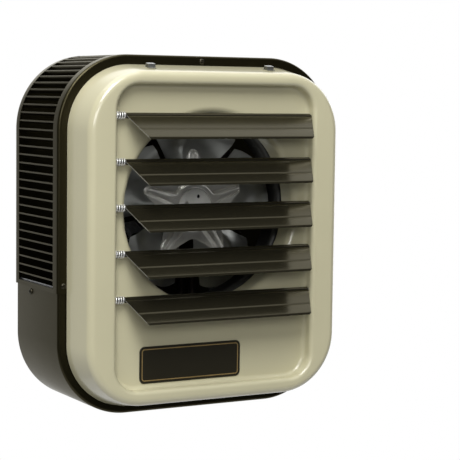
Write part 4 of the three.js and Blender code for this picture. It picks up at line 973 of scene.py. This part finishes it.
floor_share = added(floor_tree, "Math", "Value", {0: camera_ray, 1: glossy_ray}, operation="ADD")
floor_mix = {"Fac": floor_share, 1: floor_shader.outputs["BSDF"], 2: floor_glow}
floor_surface = added(floor_tree, "MixShader", "Shader", floor_mix)
feed(floor_tree, floor_tree.nodes["Material Output"], {"Surface": floor_surface})
floor_mesh.materials.append(floor_paint)


def softbox(name, place, aim, width, height, power):
    """A rectangular lamp at a place, facing a point."""
    lamp = bpy.data.lights.new(name, "AREA")
    lamp.shape = "RECTANGLE"
    lamp.size, lamp.size_y, lamp.energy = width, height, power
    light = in_scene(name, lamp)
    light.location = place
    light.rotation_euler = (Vector(aim) - Vector(place)).to_track_quat("-Z", "Y").to_euler()


middle = (0.0, -0.05, -0.2)
softbox("overhead_panel", (-0.35, 0.1, 1.7), (-0.35, 0.1, 0), 1.7, 1.9, 17)
softbox("left_key", (-1.0, -2.1, 2.3), middle, 1.3, 2.0, 97)
softbox("low_strip", (-0.9, -2.1, 0.4), middle, 1.4, 0.5, 12)

world = bpy.data.worlds.new("studio_world")
world.use_nodes = True
bpy.context.scene.world = world
sky = world.node_tree
direction = added(sky, "TexCoord", "Generated", {})


def world_mix(factor, lower, upper):
    """A blend of two levels of light, each a number or a socket, by a socket from 0 to 1."""
    return added(sky, "Mix", "Result", {"Factor": factor, "A": lower, "B": upper}, data_type="FLOAT")


def world_share(axis, start, end):
    """How far a direction lies along an axis, as a share from 0 at start to 1 at end."""
    along = added(sky, "VectorMath", "Value", {0: direction, 1: axis}, operation="DOT_PRODUCT")
    return added(sky, "MapRange", "Result", {"Value": along, "From Min": start, "From Max": end})


behind = world_share((0, 1, 0), 0.0, 0.8)
beneath = world_share((0, 0.25, -1), 0.28, 0.38)
backdrop = world_share((0.6, 0.73, 0.33), 0.64, 0.8)
leftward = world_share((-1, 0, 0), 0.0, 0.9)
upward = world_share((0, 0, 1), 0.55, 0.85)
wall_level = world_mix(behind, FRONT_LEVEL, REAR_LEVEL)
room = world_mix(beneath, world_mix(upward, wall_level, OVERHEAD_LEVEL), BENEATH_LEVEL)
mirrored = world_mix(backdrop, room, BACKDROP_LEVEL)
scattered = world_mix(backdrop, world_mix(leftward, *FILL_LEVELS), BACKDROP_FILL)
level = world_mix(added(sky, "LightPath", "Is Glossy Ray", {}), scattered, mirrored)
for seen_white in ("Is Transmission Ray", "Is Camera Ray"):
    level = world_mix(added(sky, "LightPath", seen_white, {}), level, 1.0)
feed(sky, sky.nodes["Background"], {"Color": (1, 1, 1, 1), "Strength": level})

bpy.context.scene.view_settings.view_transform = "Standard"
